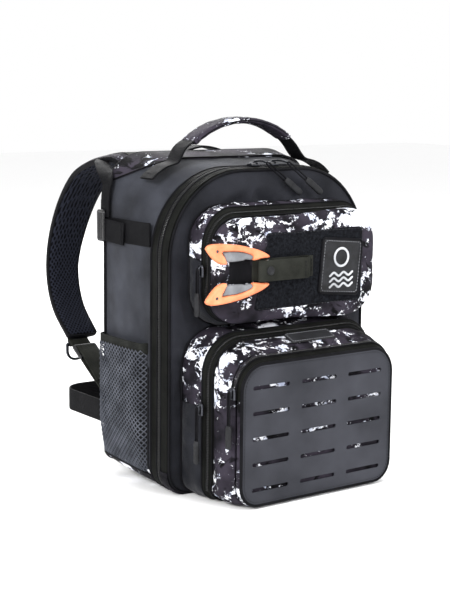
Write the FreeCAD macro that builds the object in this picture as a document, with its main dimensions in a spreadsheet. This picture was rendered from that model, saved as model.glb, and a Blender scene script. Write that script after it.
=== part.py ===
import FreeCAD, Part
import math
import os
import Sketcher
from FreeCAD import Placement, Rotation, Vector

# A tackle backpack. Millimetres, +Z up, the front faces -Y, the origin is on the
# ground under the middle of the pack. Every strip of fabric is a thin closed solid.

SIZES = {
    # the pack body, from its front seam to the back panel
    "pack_half_width": 132.6,
    "pack_top_front": 339.0,
    "pack_top_rear": 350.0,
    "pack_rear_y": 58.7,
    "front_seam_y": -30.8,
    "base_thickness": 3.0,
    "low_corner": 26.0,
    "front_corner": 90.0,
    "rear_corner": 48.0,
    "yoke_depth": 48.4,
    "yoke_skin": 1.2,
    "yoke_low": 300.0,
    "wall": 3.0,
    "back_thickness": 2.5,
    "piping_width": 3.0,
    "corner_skin": 1.0,
    "corner_depth": 12.0,
    # the door and its zip, split at the coil
    "door_face_y": -65.4,
    "door_thickness": 3.0,
    "door_half_width": 130.0,
    "zip_split_y": -48.0,
    "zip_gap": 0.5,
    "tape_wall": 1.6,
    # upper pocket on the door
    "upper_half_width": 107.5,
    "upper_low": 179.0,
    "upper_high": 302.0,
    "upper_split_y": -92.5,
    "upper_corner": 36.0,
    "cover_half_width": 109.0,
    "cover_low": 185.0,
    "cover_high": 296.0,
    "cover_face_y": -107.0,
    # what the cover carries
    "loop_half_width": 72.0,
    "loop_low": 200.0,
    "loop_height": 76.0,
    "loop_thickness": 3.0,
    "patch_half_width": 29.0,
    "patch_height": 62.0,
    "patch_thickness": 2.0,
    "band_left_x": -41.5,
    "band_length": 56.5,
    "band_root": 23.0,
    "band_height": 22.0,
    "band_middle_z": 238.5,
    "band_rise": 8.6,
    "band_thick": 1.2,
    # lower pocket: rear compartment, front compartment, slotted front panel
    "lower_low": 2.0,
    "rear_half_width": 115.5,
    "rear_high": 176.0,
    "rear_high_front": 174.0,
    "rear_split_y": -102.5,
    "front_half_width": 109.0,
    "front_high": 171.0,
    "front_half_width_face": 103.0,
    "front_high_face": 157.0,
    "front_split_y": -141.0,
    "lower_corner": 40.0,
    "lower_foot_corner": 20.0,
    "panel_half_width": 101.0,
    "panel_high": 148.5,
    "panel_face_y": -149.6,
    "panel_thickness": 2.4,
    "panel_corner": 28.0,
    "slot_length": 46.5,
    "slot_height": 3.6,
    "slot_pitch_x": 62.7,
    "slot_pitch_z": 26.4,
    "slot_first_z": 17.4,
    # side mesh pockets
    "mesh_out": 8.6,
    "mesh_wall": 1.4,
    "mesh_low": 10.0,
    "mesh_high": 158.0,
    "hem_height": 12.0,
    "mesh_front_y": -27.0,
    "mesh_rear_y": 56.0,
    # webbing and straps
    "webbing_width": 25.0,
    "webbing_thick": 1.6,
    "side_strap_low": 259.0,
    "strap_width": 64.0,
    "strap_thick": 12.0,
    "strap_outer_x": 110.0,
    "pad_thick": 10.0,
    # top handle
    "handle_axis_z": 360.0,
    "handle_top": 389.0,
    "handle_half_span": 74.0,
    "handle_thick": 3.0,
    "grip_thick": 7.0,
    "grip_width": 30.0,
    # zip sliders and pulls
    "slider_length": 12.0,
    "slider_width": 9.0,
    "slider_thick": 2.6,
    "bridge_height": 2.2,
    "pull_length": 60.0,
    "pull_lean": 54.0,
    "sleeve_length": 27.0,
    "sleeve_thick": 4.6,
    "cord_thick": 2.2,
    # waist belt and its buckle
    "belt_low": 45.0,
    "belt_half_width": 112.0,
    "belt_rear_y": 194.0,
    "belt_corner": 28.0,
    "buckle_half": 19.0,
    # pliers
    "plier_thick": 7.0,
    "plier_plane_y": -114.6,
    "jaw_thick": 3.6,
    "pin_radius": 3.0,
}

doc = FreeCAD.newDocument("tackle_backpack")
sheet = doc.addObject("Spreadsheet::Sheet", "sizes")
for line, (alias, size) in enumerate(SIZES.items(), start=1):
    sheet.set(f"A{line}", alias)
    sheet.set(f"B{line}", str(size))
    sheet.setAlias(f"B{line}", alias)
doc.recompute()

parts = {}          # node name: the object whose Shape is written
MARGIN = 5.0        # how far a cutting tool runs past the face it opens


def value(expression):
    """The number that an expression on the sheet gives."""
    return float(sheet.evalExpression(expression))


def bind(owner, prop, expression):
    """Bind one property to cells of the sheet, named there by sizes.NAME."""
    owner.setExpression(prop, expression)


def size(alias):
    return value("sizes." + alias)


def label(node, owner):
    owner.Label = node
    parts[node] = owner
    return owner


def place(owner, x="0", y="0", z="0"):
    for axis, expression in zip("xyz", (x, y, z)):
        bind(owner, f"Placement.Base.{axis}", expression)
    return owner


# ---------------------------------------------------------------- PartDesign

def plane(body, role):
    return next(f for f in body.Origin.OriginFeatures if f.Role == role)


def rounded_sketch(body, name, outline, role="XZ_Plane", lift="0", forward="0"):
    """A rectangle with rounded corners: symmetric about the sketch's vertical axis,
    standing on its horizontal one. outline is (half width, height, low radius, high radius)."""
    half, high, low_r, high_r = (value(e) for e in outline)
    sketch = body.newObject("Sketcher::SketchObject", name)
    sketch.AttachmentSupport = [(plane(body, role), "")]
    sketch.MapMode = "FlatFace"
    bind(sketch, "AttachmentOffset.Base.y", lift)
    bind(sketch, "AttachmentOffset.Base.z", forward)

    def point(x, y):
        return Vector(x, y, 0)

    def corner(x, y, radius, start):
        circle = Part.Circle(point(x, y), Vector(0, 0, 1), radius)
        return Part.ArcOfCircle(circle, math.radians(start), math.radians(start + 90))

    sketch.addGeometry([
        Part.LineSegment(point(-half + low_r, 0), point(half - low_r, 0)),
        Part.LineSegment(point(half, low_r), point(half, high - high_r)),
        Part.LineSegment(point(half - high_r, high), point(-half + high_r, high)),
        Part.LineSegment(point(-half, high - high_r), point(-half, low_r)),
        corner(half - low_r, low_r, low_r, -90),
        corner(half - high_r, high - high_r, high_r, 0),
        corner(-half + high_r, high - high_r, high_r, 90),
        corner(-half + low_r, low_r, low_r, 180),
    ], False)
    loop = [0, 4, 1, 5, 2, 6, 3, 7]
    for first, second in zip(loop, loop[1:] + loop[:1]):
        sketch.addConstraint(Sketcher.Constraint("Tangent", first, 2, second, 1))
    sketch.addConstraint([
        Sketcher.Constraint("Vertical", 1),
        Sketcher.Constraint("Horizontal", 2),
        Sketcher.Constraint("Vertical", 3),
        Sketcher.Constraint("Equal", 4, 7),
        Sketcher.Constraint("Equal", 5, 6),
        Sketcher.Constraint("PointOnObject", 0, 1, -1),
        Sketcher.Constraint("Symmetric", 0, 1, 0, 2, -2),
    ])
    half_e, high_e, low_e, high_r_e = outline
    driven = {
        "width": (Sketcher.Constraint("DistanceX", 3, 1, 1, 1, 2 * half), f"2 * ({half_e})"),
        "tall": (Sketcher.Constraint("DistanceY", 0, 1, 2, 1, high), high_e),
        "low_radius": (Sketcher.Constraint("Radius", 4, low_r), low_e),
        "high_radius": (Sketcher.Constraint("Radius", 5, high_r), high_r_e),
    }
    for title, (constraint, expression) in driven.items():
        index = sketch.addConstraint(constraint)
        sketch.renameConstraint(index, title)
        bind(sketch, f"Constraints.{title}", expression)
    return sketch


def pad(body, sketch, name, length):
    feature = body.newObject("PartDesign::Pad", name)
    feature.Profile = sketch
    bind(feature, "Length", length)
    return feature


def pocket(body, sketch, name, length):
    feature = body.newObject("PartDesign::Pocket", name)
    feature.Profile = sketch
    bind(feature, "Length", length)
    return feature


def new_body(node):
    return label(node, doc.addObject("PartDesign::Body", node))


def inner(outline, wall):
    half, high, low_r, high_r = outline
    return (f"{half} - {wall}", f"{high} - 2 * {wall}", f"{low_r} - {wall}", f"{high_r} - {wall}")


def slab(node, outline, depth, role="XZ_Plane"):
    """A rounded plate."""
    body = new_body(node)
    pad(body, rounded_sketch(body, node + "_outline", outline, role), node + "_pad", depth)
    return body


def tray(node, outline, depth, wall, floor, role="XZ_Plane"):
    """A rounded plate hollowed from its front, which leaves a floor at the back.
    A floor of "0" leaves a ring."""
    body = slab(node, outline, depth, role)
    mouth = rounded_sketch(body, node + "_mouth", inner(outline, wall), role, wall, depth)
    pocket(body, mouth, node + "_hollow", f"{depth} - ({floor})" if floor != "0" else f"{depth} + {MARGIN}")
    return body


def tapered_tray(node, rear, front, depth, wall, floor, rise="0"):
    """As tray, but the outline changes from rear to front, where it also stands higher by rise."""
    body = new_body(node)
    outer_rear = rounded_sketch(body, node + "_rear", rear)
    outer_front = rounded_sketch(body, node + "_front", front, lift=rise, forward=depth)
    outer = body.newObject("PartDesign::AdditiveLoft", node + "_loft")
    outer.Profile = outer_rear
    outer.Sections = [outer_front]
    outer.Ruled = True
    hollow_rear = rounded_sketch(body, node + "_hollow_rear", inner(rear, wall), lift=wall, forward=floor)
    hollow_front = rounded_sketch(body, node + "_hollow_front", inner(front, wall), lift=f"{wall} + {rise}",
                                  forward=depth)
    hollow = body.newObject("PartDesign::SubtractiveLoft", node + "_hollow")
    hollow.Profile = hollow_rear
    hollow.Sections = [hollow_front]
    hollow.Ruled = True
    return body


# ------------------------------------------------------------ Part primitives

def box(name, x, y, z, wide, deep, tall):
    """A Part::Box whose low corner and sides are expressions."""
    solid = doc.addObject("Part::Box", name)
    for prop, expression in (("Length", wide), ("Width", deep), ("Height", tall)):
        bind(solid, prop, expression)
    return place(solid, x, y, z)


def cut(name, base, tool):
    result = doc.addObject("Part::Cut", name)
    result.Base = base
    result.Tool = tool
    return result


def group(node, solids):
    """Separate like solids that share one node."""
    result = doc.addObject("Part::Compound", node)
    result.Links = solids
    return label(node, result)


def fuse(name, solids):
    result = doc.addObject("Part::MultiFuse", name)
    result.Shapes = solids
    return result


def feature(node, shape, at=None):
    """A solid whose outline is a free curve, set from Part's own functions."""
    result = doc.addObject("Part::Feature", node)
    result.Shape = shape
    if at is not None:
        result.Placement = at
    return result


def path_face(points, thick, along):
    """A ribbon of even thickness along a smooth path, as a face normal to `along`."""
    curve = Part.BSplineCurve()
    curve.interpolate(points)
    steps = 8 * (len(points) - 1)
    low, high = curve.FirstParameter, curve.LastParameter
    sides = ([], [])
    for step in range(steps + 1):
        at = low + (high - low) * step / steps
        across = curve.tangent(at)[0].cross(along)
        across.normalize()
        sides[0].append(curve.value(at) + across * thick / 2)
        sides[1].append(curve.value(at) - across * thick / 2)
    edges = []
    for side in sides:
        spline = Part.BSplineCurve()
        spline.interpolate(side)
        edges.append(spline.toShape())
    edges.append(Part.LineSegment(sides[0][0], sides[1][0]).toShape())
    edges.append(Part.LineSegment(sides[0][-1], sides[1][-1]).toShape())
    return Part.Face(Part.Wire(Part.__sortEdges__(edges)))


def side_ribbon(points, thick, x_low, width):
    """A strap whose side outline lies in a YZ plane, width along X."""
    face = path_face([Vector(x_low, y, z) for y, z in points], thick, Vector(1, 0, 0))
    return face.extrude(Vector(width, 0, 0))


def blob(points, y_low, depth):
    """A closed smooth outline in an XZ plane, extruded along +Y."""
    curve = Part.BSplineCurve()
    curve.interpolate([Vector(x, y_low, z) for x, z in points], PeriodicFlag=True)
    return Part.Face(Part.Wire([curve.toShape()])).extrude(Vector(0, depth, 0))


# ------------------------------------------------------------------ the pack

def pack_outline(half, high, high_corner="sizes.front_corner"):
    return (half, high, "sizes.low_corner", high_corner)


def grown(outline, by):
    """An outline pushed out by the same amount on every side."""
    half, high, low_r, high_r = outline
    return (f"{half} + {by}", f"{high} + 2 * {by}", f"{low_r} + {by}", f"{high_r} + {by}")


def between(start, end, part):
    """The outline that a taper from start to end has after `part` of its depth."""
    return tuple(f"({a}) + (({b}) - ({a})) * {part}" for a, b in zip(start, end))


SHELL_DEPTH = "(sizes.pack_rear_y - sizes.back_thickness - sizes.front_seam_y)"
SHELL_REAR = pack_outline("sizes.pack_half_width - 1", "sizes.pack_top_rear - sizes.base_thickness",
                          "sizes.rear_corner")
SHELL_FRONT = pack_outline("sizes.pack_half_width", "sizes.pack_top_front - sizes.base_thickness")


def build_pack():
    """The sewn box of the pack: gusset, base, back panel and the stiffeners inside."""
    shell = tapered_tray("main_shell", SHELL_REAR, SHELL_FRONT, SHELL_DEPTH, "sizes.wall", "0")
    place(shell, y="sizes.pack_rear_y - sizes.back_thickness", z="sizes.base_thickness")

    back = slab("back_panel", SHELL_REAR, "sizes.back_thickness")
    place(back, y="sizes.pack_rear_y", z="sizes.base_thickness")

    base_y = "(sizes.pack_rear_y - sizes.front_seam_y - 2)"
    base = slab("base_panel", ("sizes.pack_half_width - sizes.low_corner", base_y, "8", "8"),
                "sizes.base_thickness - 0.02", "XY_Plane")
    place(base, y="sizes.front_seam_y + 1")

    sheet_outline = ("sizes.pack_half_width - 14", "sizes.pack_top_front - 42", "20", "60")
    frame = slab("frame_sheet", sheet_outline, "1.5")
    place(frame, y="sizes.pack_rear_y - sizes.back_thickness - 0.5", z="12")

    board = slab("base_board", ("sizes.pack_half_width - sizes.low_corner - 4", "74", "8", "8"), "2", "XY_Plane")
    place(board, y="-22", z="sizes.base_thickness + sizes.wall + 0.3")


def build_yoke():
    """The patterned top panel, a skin over the rear half of the shell's top."""
    skin_rear = grown(SHELL_REAR, "sizes.yoke_skin")
    part = f"((sizes.yoke_depth - sizes.back_thickness) / {SHELL_DEPTH})"
    skin_front = grown(between(SHELL_REAR, SHELL_FRONT, part), "sizes.yoke_skin")
    skin = tapered_tray("yoke_skin", skin_rear, skin_front, "sizes.yoke_depth", "sizes.yoke_skin", "0")
    place(skin, y="sizes.pack_rear_y", z="sizes.base_thickness - sizes.yoke_skin")
    del parts["yoke_skin"]
    foot = box("yoke_foot", "-2 * sizes.pack_half_width", "-sizes.pack_half_width", f"-{MARGIN}",
               "4 * sizes.pack_half_width", "2 * sizes.pack_half_width", f"sizes.yoke_low + {MARGIN}")
    upper = cut("yoke_upper", skin, foot)
    clear_of_shell = cut("yoke_clear", upper, doc.getObject("main_shell"))
    label("yoke_panel", cut("yoke_panel", clear_of_shell, doc.getObject("back_panel")))


def build_zip_band():
    """Zip tapes and piping between the front seam and the door's face."""
    outline = pack_outline("sizes.pack_half_width - 0.6", "sizes.pack_top_front")
    bead = pack_outline("sizes.pack_half_width + 0.4", "sizes.pack_top_front + 1")
    piping = tray("side_piping", bead, "sizes.piping_width", "4", "0")
    place(piping, y="sizes.front_seam_y")
    tape_depth = "(sizes.front_seam_y - sizes.piping_width - sizes.zip_split_y - sizes.zip_gap)"
    tape = tray("shell_zip_tape", outline, tape_depth, "sizes.tape_wall", "0")
    place(tape, y="sizes.front_seam_y - sizes.piping_width")

    door_depth = "(sizes.zip_split_y - sizes.zip_gap - sizes.door_face_y - sizes.door_thickness)"
    door_tape = tray("door_zip_tape", outline, door_depth, "sizes.tape_wall", "0")
    place(door_tape, y="sizes.zip_split_y - sizes.zip_gap")
    door_bead = pack_outline("sizes.door_half_width + 1.6", "sizes.pack_top_front - 1")
    door_piping = tray("door_piping", door_bead, "sizes.door_thickness", "2.6", "0")
    place(door_piping, y="sizes.door_face_y + sizes.door_thickness")
    panel = slab("door_panel", inner(door_bead, "2.6"), "sizes.door_thickness")
    place(panel, y="sizes.door_face_y + sizes.door_thickness", z="2.6")


def build_door_corners():
    """Reinforcing strips wrapped round the lower corners of the door's gusset."""
    outline = grown(pack_outline("sizes.pack_half_width - 0.6", "sizes.pack_top_front"), "sizes.corner_skin")
    ring = tray("corner_ring", outline, "sizes.corner_depth", "sizes.corner_skin", "0")
    place(ring, y="sizes.door_face_y + sizes.door_thickness + sizes.corner_depth", z="-sizes.corner_skin")
    del parts["corner_ring"]
    reach = "sizes.low_corner"
    zones = [box(f"corner_zone_{side}", x, "sizes.door_face_y", "0.02", reach, "40", "sizes.low_corner + 8")
             for side, x in (("left", "-sizes.pack_half_width - 2"),
                             ("right", "sizes.pack_half_width + 2 - sizes.low_corner"))]
    strips = []
    for side, zone in zip(("left", "right"), zones):
        strip = doc.addObject("Part::Common", f"door_corner_{side}")
        strip.Base = ring
        strip.Tool = zone
        strips.append(strip)
    group("door_corners", strips)


def build_upper_pocket():
    """The tray sewn on the door, its opening cover, and what the cover carries."""
    corner = "sizes.upper_corner"
    rear = ("sizes.upper_half_width", "sizes.upper_high - sizes.upper_low", corner, corner)
    front = ("sizes.cover_half_width", "sizes.cover_high - sizes.cover_low", corner, corner)
    depth = "(sizes.door_face_y - sizes.upper_split_y - sizes.zip_gap)"
    pocket_tray = tapered_tray("upper_pocket_tray", rear, front, depth, "sizes.tape_wall", "1.2",
                               "(sizes.cover_low - sizes.upper_low)")
    place(pocket_tray, y="sizes.door_face_y", z="sizes.upper_low")

    outline = ("sizes.cover_half_width", "sizes.cover_high - sizes.cover_low", corner, corner)
    cover = tray_from_behind("upper_pocket_cover", outline,
                             "(sizes.upper_split_y - sizes.zip_gap - sizes.cover_face_y)",
                             "sizes.tape_wall", "2")
    place(cover, y="sizes.upper_split_y - sizes.zip_gap", z="sizes.cover_low")

    loop = slab("loop_panel", ("sizes.loop_half_width", "sizes.loop_height", "5", "5"), "sizes.loop_thickness")
    place(loop, "19", "sizes.cover_face_y", "sizes.loop_low")
    patch = slab("front_patch", ("sizes.patch_half_width", "sizes.patch_height", "3", "3"), "sizes.patch_thickness")
    place(patch, "57.5", "sizes.cover_face_y - sizes.loop_thickness", "sizes.loop_low + 4")
    build_holster()


def tray_from_behind(node, outline, depth, wall, skin):
    """A rounded plate hollowed from its rear, which leaves a skin at the front."""
    body = slab(node, outline, depth)
    mouth = rounded_sketch(body, node + "_mouth", inner(outline, wall), lift=wall)
    hollow = pocket(body, mouth, node + "_hollow", f"{depth} - {skin}")
    hollow.Reversed = True
    return body


def build_holster():
    """The webbing band that holds the pliers' jaws: a bridge open at the left, with its
    edges sewn down only at the right."""
    y_low = "(sizes.cover_face_y - sizes.loop_thickness - sizes.band_rise)"
    z_low = "(sizes.band_middle_z - sizes.band_height / 2)"
    roof = box("band_roof", "sizes.band_left_x", y_low, z_low,
               "sizes.band_length", "sizes.band_thick", "sizes.band_height")
    root_x = "(sizes.band_left_x + sizes.band_length - sizes.band_root)"
    root = box("band_root", root_x, f"{y_low} + sizes.band_thick", z_low,
               "sizes.band_root", "sizes.band_rise - sizes.band_thick", "sizes.band_height")
    room = box("band_room", f"{root_x} - {MARGIN}", f"{y_low} + sizes.band_thick",
               f"{z_low} + sizes.band_thick",
               f"sizes.band_root - 2 * sizes.band_thick + {MARGIN}", "sizes.band_rise",
               "sizes.band_height - 2 * sizes.band_thick")
    label("holster_band", fuse("holster_band", [roof, cut("band_walls", root, room)]))


def build_lower_pocket():
    """Rear compartment on the door, front compartment, and the slotted front panel."""
    corner, foot = "sizes.lower_corner", "sizes.lower_foot_corner"
    rear = ("sizes.rear_half_width", "sizes.rear_high - sizes.lower_low", foot, corner)
    rear_front = ("sizes.rear_half_width - 3", "sizes.rear_high_front - sizes.lower_low", foot, corner)
    depth = "(sizes.door_face_y - sizes.rear_split_y - sizes.zip_gap)"
    rear_tray = tapered_tray("lower_pocket_rear", rear, rear_front, depth, "sizes.tape_wall", "1.2")
    place(rear_tray, y="sizes.door_face_y", z="sizes.lower_low")

    back = ("sizes.front_half_width", "sizes.front_high - sizes.lower_low - 0.6", foot, corner)
    face = ("sizes.front_half_width_face", "sizes.front_high_face - sizes.lower_low - 0.6", foot, corner)
    depth = "(sizes.rear_split_y - sizes.front_split_y - 2 * sizes.zip_gap)"
    front_tray = tapered_tray("lower_pocket_front", back, face, depth, "sizes.tape_wall", "1.2")
    place(front_tray, y="sizes.rear_split_y - sizes.zip_gap", z="sizes.lower_low + 0.6")

    panel_height = "(sizes.panel_high - sizes.lower_low - 1.2)"
    outline = ("sizes.panel_half_width", panel_height, "22", "sizes.panel_corner")
    rim = "(sizes.front_split_y - sizes.zip_gap - sizes.panel_face_y - sizes.panel_thickness)"
    backing = tray_from_behind("camo_backing", outline, rim, "sizes.tape_wall", "1.2")
    place(backing, y="sizes.front_split_y - sizes.zip_gap", z="sizes.lower_low + 1.2")
    build_slotted_panel(outline)


def build_slotted_panel(outline):
    """The front panel with rows of attachment slots in three columns."""
    body = slab("molle_panel", outline, "sizes.panel_thickness")
    for column in (-1, 0, 1):
        name = f"slot_column_{column + 2}"
        slot = rounded_sketch(body, name, ("sizes.slot_length / 2", "sizes.slot_height", "1.2", "1.2"),
                              lift="sizes.slot_first_z - sizes.slot_height / 2",
                              forward="sizes.panel_thickness")
        bind(slot, "AttachmentOffset.Base.x", f"{column} * sizes.slot_pitch_x - 1")
        first = pocket(body, slot, name + "_cut", f"sizes.panel_thickness + {MARGIN}")
        rows = body.newObject("PartDesign::LinearPattern", name + "_rows")
        rows.Originals = [first]
        rows.Direction = (slot, ["V_Axis"])
        bind(rows, "Length", "4 * sizes.slot_pitch_z")
        rows.Occurrences = 5
        body.Tip = rows
    place(body, y="sizes.panel_face_y + sizes.panel_thickness", z="sizes.lower_low + 1.2")


def build_side(side):
    """A mesh pocket and its hem, the compression strap and its buckle, on one side."""
    left = side == "left"
    wall = "sizes.pack_half_width"
    deep = "(sizes.mesh_rear_y - sizes.mesh_front_y)"
    hem_z = "(sizes.mesh_high - sizes.hem_height)"

    def across(out, inside):
        """x of a box's low corner, for a box that spans from `inside` to `out` off the wall."""
        return f"-({wall} + {out})" if left else f"{wall} + {inside}"

    def pocket_wall(name, low, tall, floor):
        outer = box(f"{name}_{side}_outer", across("sizes.mesh_out", "0.2"), "sizes.mesh_front_y", low,
                    "sizes.mesh_out - 0.2", deep, tall)
        room = "(sizes.mesh_out - sizes.mesh_wall)"
        hollow = box(f"{name}_{side}_room", across(room, f"(-{MARGIN})"),
                     "sizes.mesh_front_y + sizes.mesh_wall", f"{low} + {floor}",
                     f"{room} + {MARGIN}", f"{deep} - 2 * sizes.mesh_wall", f"{tall} + {MARGIN}")
        return cut(f"{name}_{side}", outer, hollow)

    mesh = pocket_wall("mesh", "sizes.mesh_low", f"({hem_z} - sizes.mesh_low)", "sizes.mesh_wall")
    label(f"mesh_pocket_{side}", mesh)
    hem = pocket_wall("hem", hem_z, "sizes.hem_height", f"(-{MARGIN})")

    strap = box(f"side_strap_{side}", across("1.9", "0.3"), "sizes.front_seam_y + 1",
                "sizes.side_strap_low", "1.6", "84", "sizes.webbing_width")
    tail = box(f"side_tail_{side}", across("4.4", "1.9"), "8", "sizes.side_strap_low - 3",
               "2.5", "40", "sizes.webbing_width")
    label(f"compression_strap_{side}", fuse(f"compression_strap_{side}", [strap, tail]))

    buckle = box(f"side_buckle_{side}", across("9", "4.5"), "48.2", "sizes.side_strap_low - 2",
                 "4.5", "13", "35")
    return hem, buckle, build_stay(side)


def build_stay(side):
    """The narrow webbing that climbs from the side buckle round the shell's upper corner."""
    sign = -1 if side == "left" else 1
    centre_x = size("pack_half_width") - size("rear_corner")
    centre_z = size("pack_top_rear") - size("rear_corner")
    radius = size("rear_corner") + 3.4
    path = [Vector(sign * (size("pack_half_width") + 2.8), 0, size("side_strap_low") + 34.0)]
    for angle in (10.0, 30.0, 50.0):
        turn = math.radians(angle)
        path.append(Vector(sign * (centre_x + radius * math.cos(turn)), 0, centre_z + radius * math.sin(turn)))
    face = path_face(path, 1.4, Vector(0, 1, 0))
    face.translate(Vector(0, 43.0, 0))
    return feature(f"stay_{side}", face.extrude(Vector(0, 14, 0)))


def build_sides():
    pairs = [build_side(side) for side in ("left", "right")]
    for node, solids in zip(("pocket_hems", "strap_buckles", "stabiliser_straps"), zip(*pairs)):
        group(node, list(solids))


# ----------------------------------------------------------- carrying straps

# the middle of a shoulder strap, then of the webbing under it, as (y, z)
STRAP_PATH = [(61.6, 330.0), (95.0, 337.0), (135.0, 334.0), (170.0, 318.0), (202.0, 283.0),
              (224.0, 238.0), (228.0, 196.0), (214.0, 160.0), (182.0, 131.0)]
WEBBING_PATH = [(178.0, 126.0), (150.0, 107.0), (120.0, 88.0), (84.0, 68.0), (59.6, 60.0)]


def ladder_lock(name, middle_x, start, end):
    """A flat buckle lying on top of the webbing, part of the way from start to end."""
    slope = math.degrees(math.atan2(start[1] - end[1], start[0] - end[0]))
    wide, deep, tall = 31.0, 22.0, 4.0
    frame = Part.makeBox(wide, deep, tall, Vector(-wide / 2, 0, 0))
    for edge in (4.0, 13.0):
        frame = frame.cut(Part.makeBox(wide - 6, 5.0, tall * 3, Vector(3 - wide / 2, edge, -tall)))
    at = Placement(Vector(middle_x, end[0], end[1] + 1.4), Rotation(Vector(1, 0, 0), slope))
    return feature(name, frame, at)


def build_harness():
    """Shoulder straps, the webbing and ladder locks under them, and the back padding."""
    width, thick = size("strap_width"), size("strap_thick")
    web, web_thick = size("webbing_width"), size("webbing_thick")
    outer = size("strap_outer_x")
    locks = []
    for side, sign in (("left", -1), ("right", 1)):
        x_low = min(sign * outer, sign * (outer - width))
        strap = side_ribbon(STRAP_PATH, thick, x_low, width)
        label(f"shoulder_strap_{side}", feature(f"shoulder_strap_{side}", strap))
        middle = sign * (outer - web / 2 - 2)
        webbing = side_ribbon(WEBBING_PATH, web_thick, middle - web / 2, web)
        label(f"strap_webbing_{side}", feature(f"strap_webbing_{side}", webbing))
        locks.append(ladder_lock(f"lock_{side}", middle, WEBBING_PATH[0], WEBBING_PATH[1]))
    group("strap_adjusters", locks)

    pads = []
    for side, x in (("left", "-56"), ("right", "56")):
        pads.append(slab(f"back_pad_{side}", ("44", "190", "18", "22"), "sizes.pad_thick"))
        place(pads[-1], x, "sizes.pack_rear_y + sizes.pad_thick + 0.05", "112")
        del parts[f"back_pad_{side}"]
    group("back_pads", pads)
    lumbar = slab("lumbar_pad", ("80", "78", "18", "18"), "sizes.pad_thick + 2")
    place(lumbar, "0", "sizes.pack_rear_y + sizes.pad_thick + 2.05", "22")


def build_rings():
    """A D-ring hanging from the foot of each shoulder strap."""
    for side, sign in (("left", -1), ("right", 1)):
        ring = tray(f"d_ring_{side}", ("13", "22", "12", "3.5"), "3", "3", "0")
        place(ring, str(sign * 97.0), "183", "101")


def belt_half(sign):
    """Half of the waist belt: from the side of the back, round a corner, to the buckle."""
    half, rear = size("belt_half_width"), size("belt_rear_y")
    corner, thick = size("belt_corner"), size("webbing_thick") + 0.8
    low, gap = size("belt_low"), size("buckle_half") + 1
    start = size("pack_rear_y") + 0.1

    def side_line(offset):
        turn = corner - offset
        centre = Vector(sign * (half - corner), rear - corner, low)
        mid = Vector(sign * turn * math.sqrt(0.5), turn * math.sqrt(0.5), 0)
        points = [Vector(sign * (half - offset), start, low), Vector(sign * (half - offset), rear - corner, low),
                  centre + mid, Vector(sign * (half - corner), rear - offset, low),
                  Vector(sign * gap, rear - offset, low)]
        edges = [Part.LineSegment(points[0], points[1]).toShape(),
                 Part.Arc(points[1], points[2], points[3]).toShape(),
                 Part.LineSegment(points[3], points[4]).toShape()]
        return edges, points[0], points[4]

    outer, outer_start, outer_end = side_line(0)
    inside, inside_start, inside_end = side_line(thick)
    caps = [Part.LineSegment(outer_start, inside_start).toShape(),
            Part.LineSegment(outer_end, inside_end).toShape()]
    wire = Part.Wire(Part.__sortEdges__(outer + inside + caps))
    return Part.Face(wire).extrude(Vector(0, 0, size("webbing_width")))


def build_belt():
    for side, sign in (("left", -1), ("right", 1)):
        label(f"waist_belt_{side}", feature(f"waist_belt_{side}", belt_half(sign)))
    y_low = "sizes.belt_rear_y - 6.2"
    z_low = "sizes.belt_low - 4"
    outer = box("socket_outer", "0.5", y_low, z_low, "sizes.buckle_half", "10", "33")
    mouth = box("socket_mouth", "-2", "sizes.belt_rear_y - 3.7", "sizes.belt_low + 0.5", "17", "5", "24")
    label("belt_buckle_socket", cut("belt_buckle_socket", outer, mouth))
    block = box("plug_block", "-sizes.buckle_half", y_low, z_low, "sizes.buckle_half - 0.5", "10", "33")
    slot = box("plug_slot", f"-sizes.buckle_half - {MARGIN}", "sizes.belt_rear_y - 3.2", "sizes.belt_low - 0.7",
               f"sizes.buckle_half - 2.5 + {MARGIN}", "4", "sizes.webbing_width + 1.4")
    body = cut("plug_body", block, slot)
    tongue = box("plug_tongue", "-0.6", "sizes.belt_rear_y - 3.3", "sizes.belt_low + 1", "14", "4.2", "23")
    label("belt_buckle_plug", fuse("belt_buckle_plug", [body, tongue]))


def build_haul_loop():
    """A short webbing loop behind the top edge, for hanging the pack up."""
    path = [Vector(x, 0, z) for x, z in ((-42, 334), (-31, 348), (0, 356), (31, 348), (42, 334))]
    face = path_face(path, size("webbing_thick"), Vector(0, 1, 0))
    face.translate(Vector(0, size("pack_rear_y") + 0.4, 0))
    label("haul_loop", feature("haul_loop", face.extrude(Vector(0, 22, 0))))


# ------------------------------------------------------------------- handle

def handle_arch(from_angle, to_angle, inner_offset, outer_offset, y_low, width):
    """Part of the handle's arch, between two angles, as a strip along Y."""
    span, top, axis = size("handle_half_span"), size("handle_top"), size("handle_axis_z")
    rise = top - axis
    radius = (span * span + rise * rise) / (2 * rise)
    centre = Vector(0, y_low, top - radius)

    def at(angle, offset):
        turn = math.radians(angle)
        return centre + Vector(math.sin(turn), 0, math.cos(turn)) * (radius - offset)

    middle = (from_angle + to_angle) / 2
    edges = []
    for offset in (outer_offset, inner_offset):
        arc = Part.Arc(at(from_angle, offset), at(middle, offset), at(to_angle, offset))
        edges.append(arc.toShape())
    for angle in (from_angle, to_angle):
        edges.append(Part.LineSegment(at(angle, outer_offset), at(angle, inner_offset)).toShape())
    face = Part.Face(Part.Wire(Part.__sortEdges__(edges)))
    return face.extrude(Vector(0, width, 0))


# the round of the shell's upper corner under the handle, and the tab's place on it
TAB_CENTRE_X, TAB_CENTRE_Z, TAB_RADIUS, TAB_TILT = 57.0, 266.0, 82.5, 20.0


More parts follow.
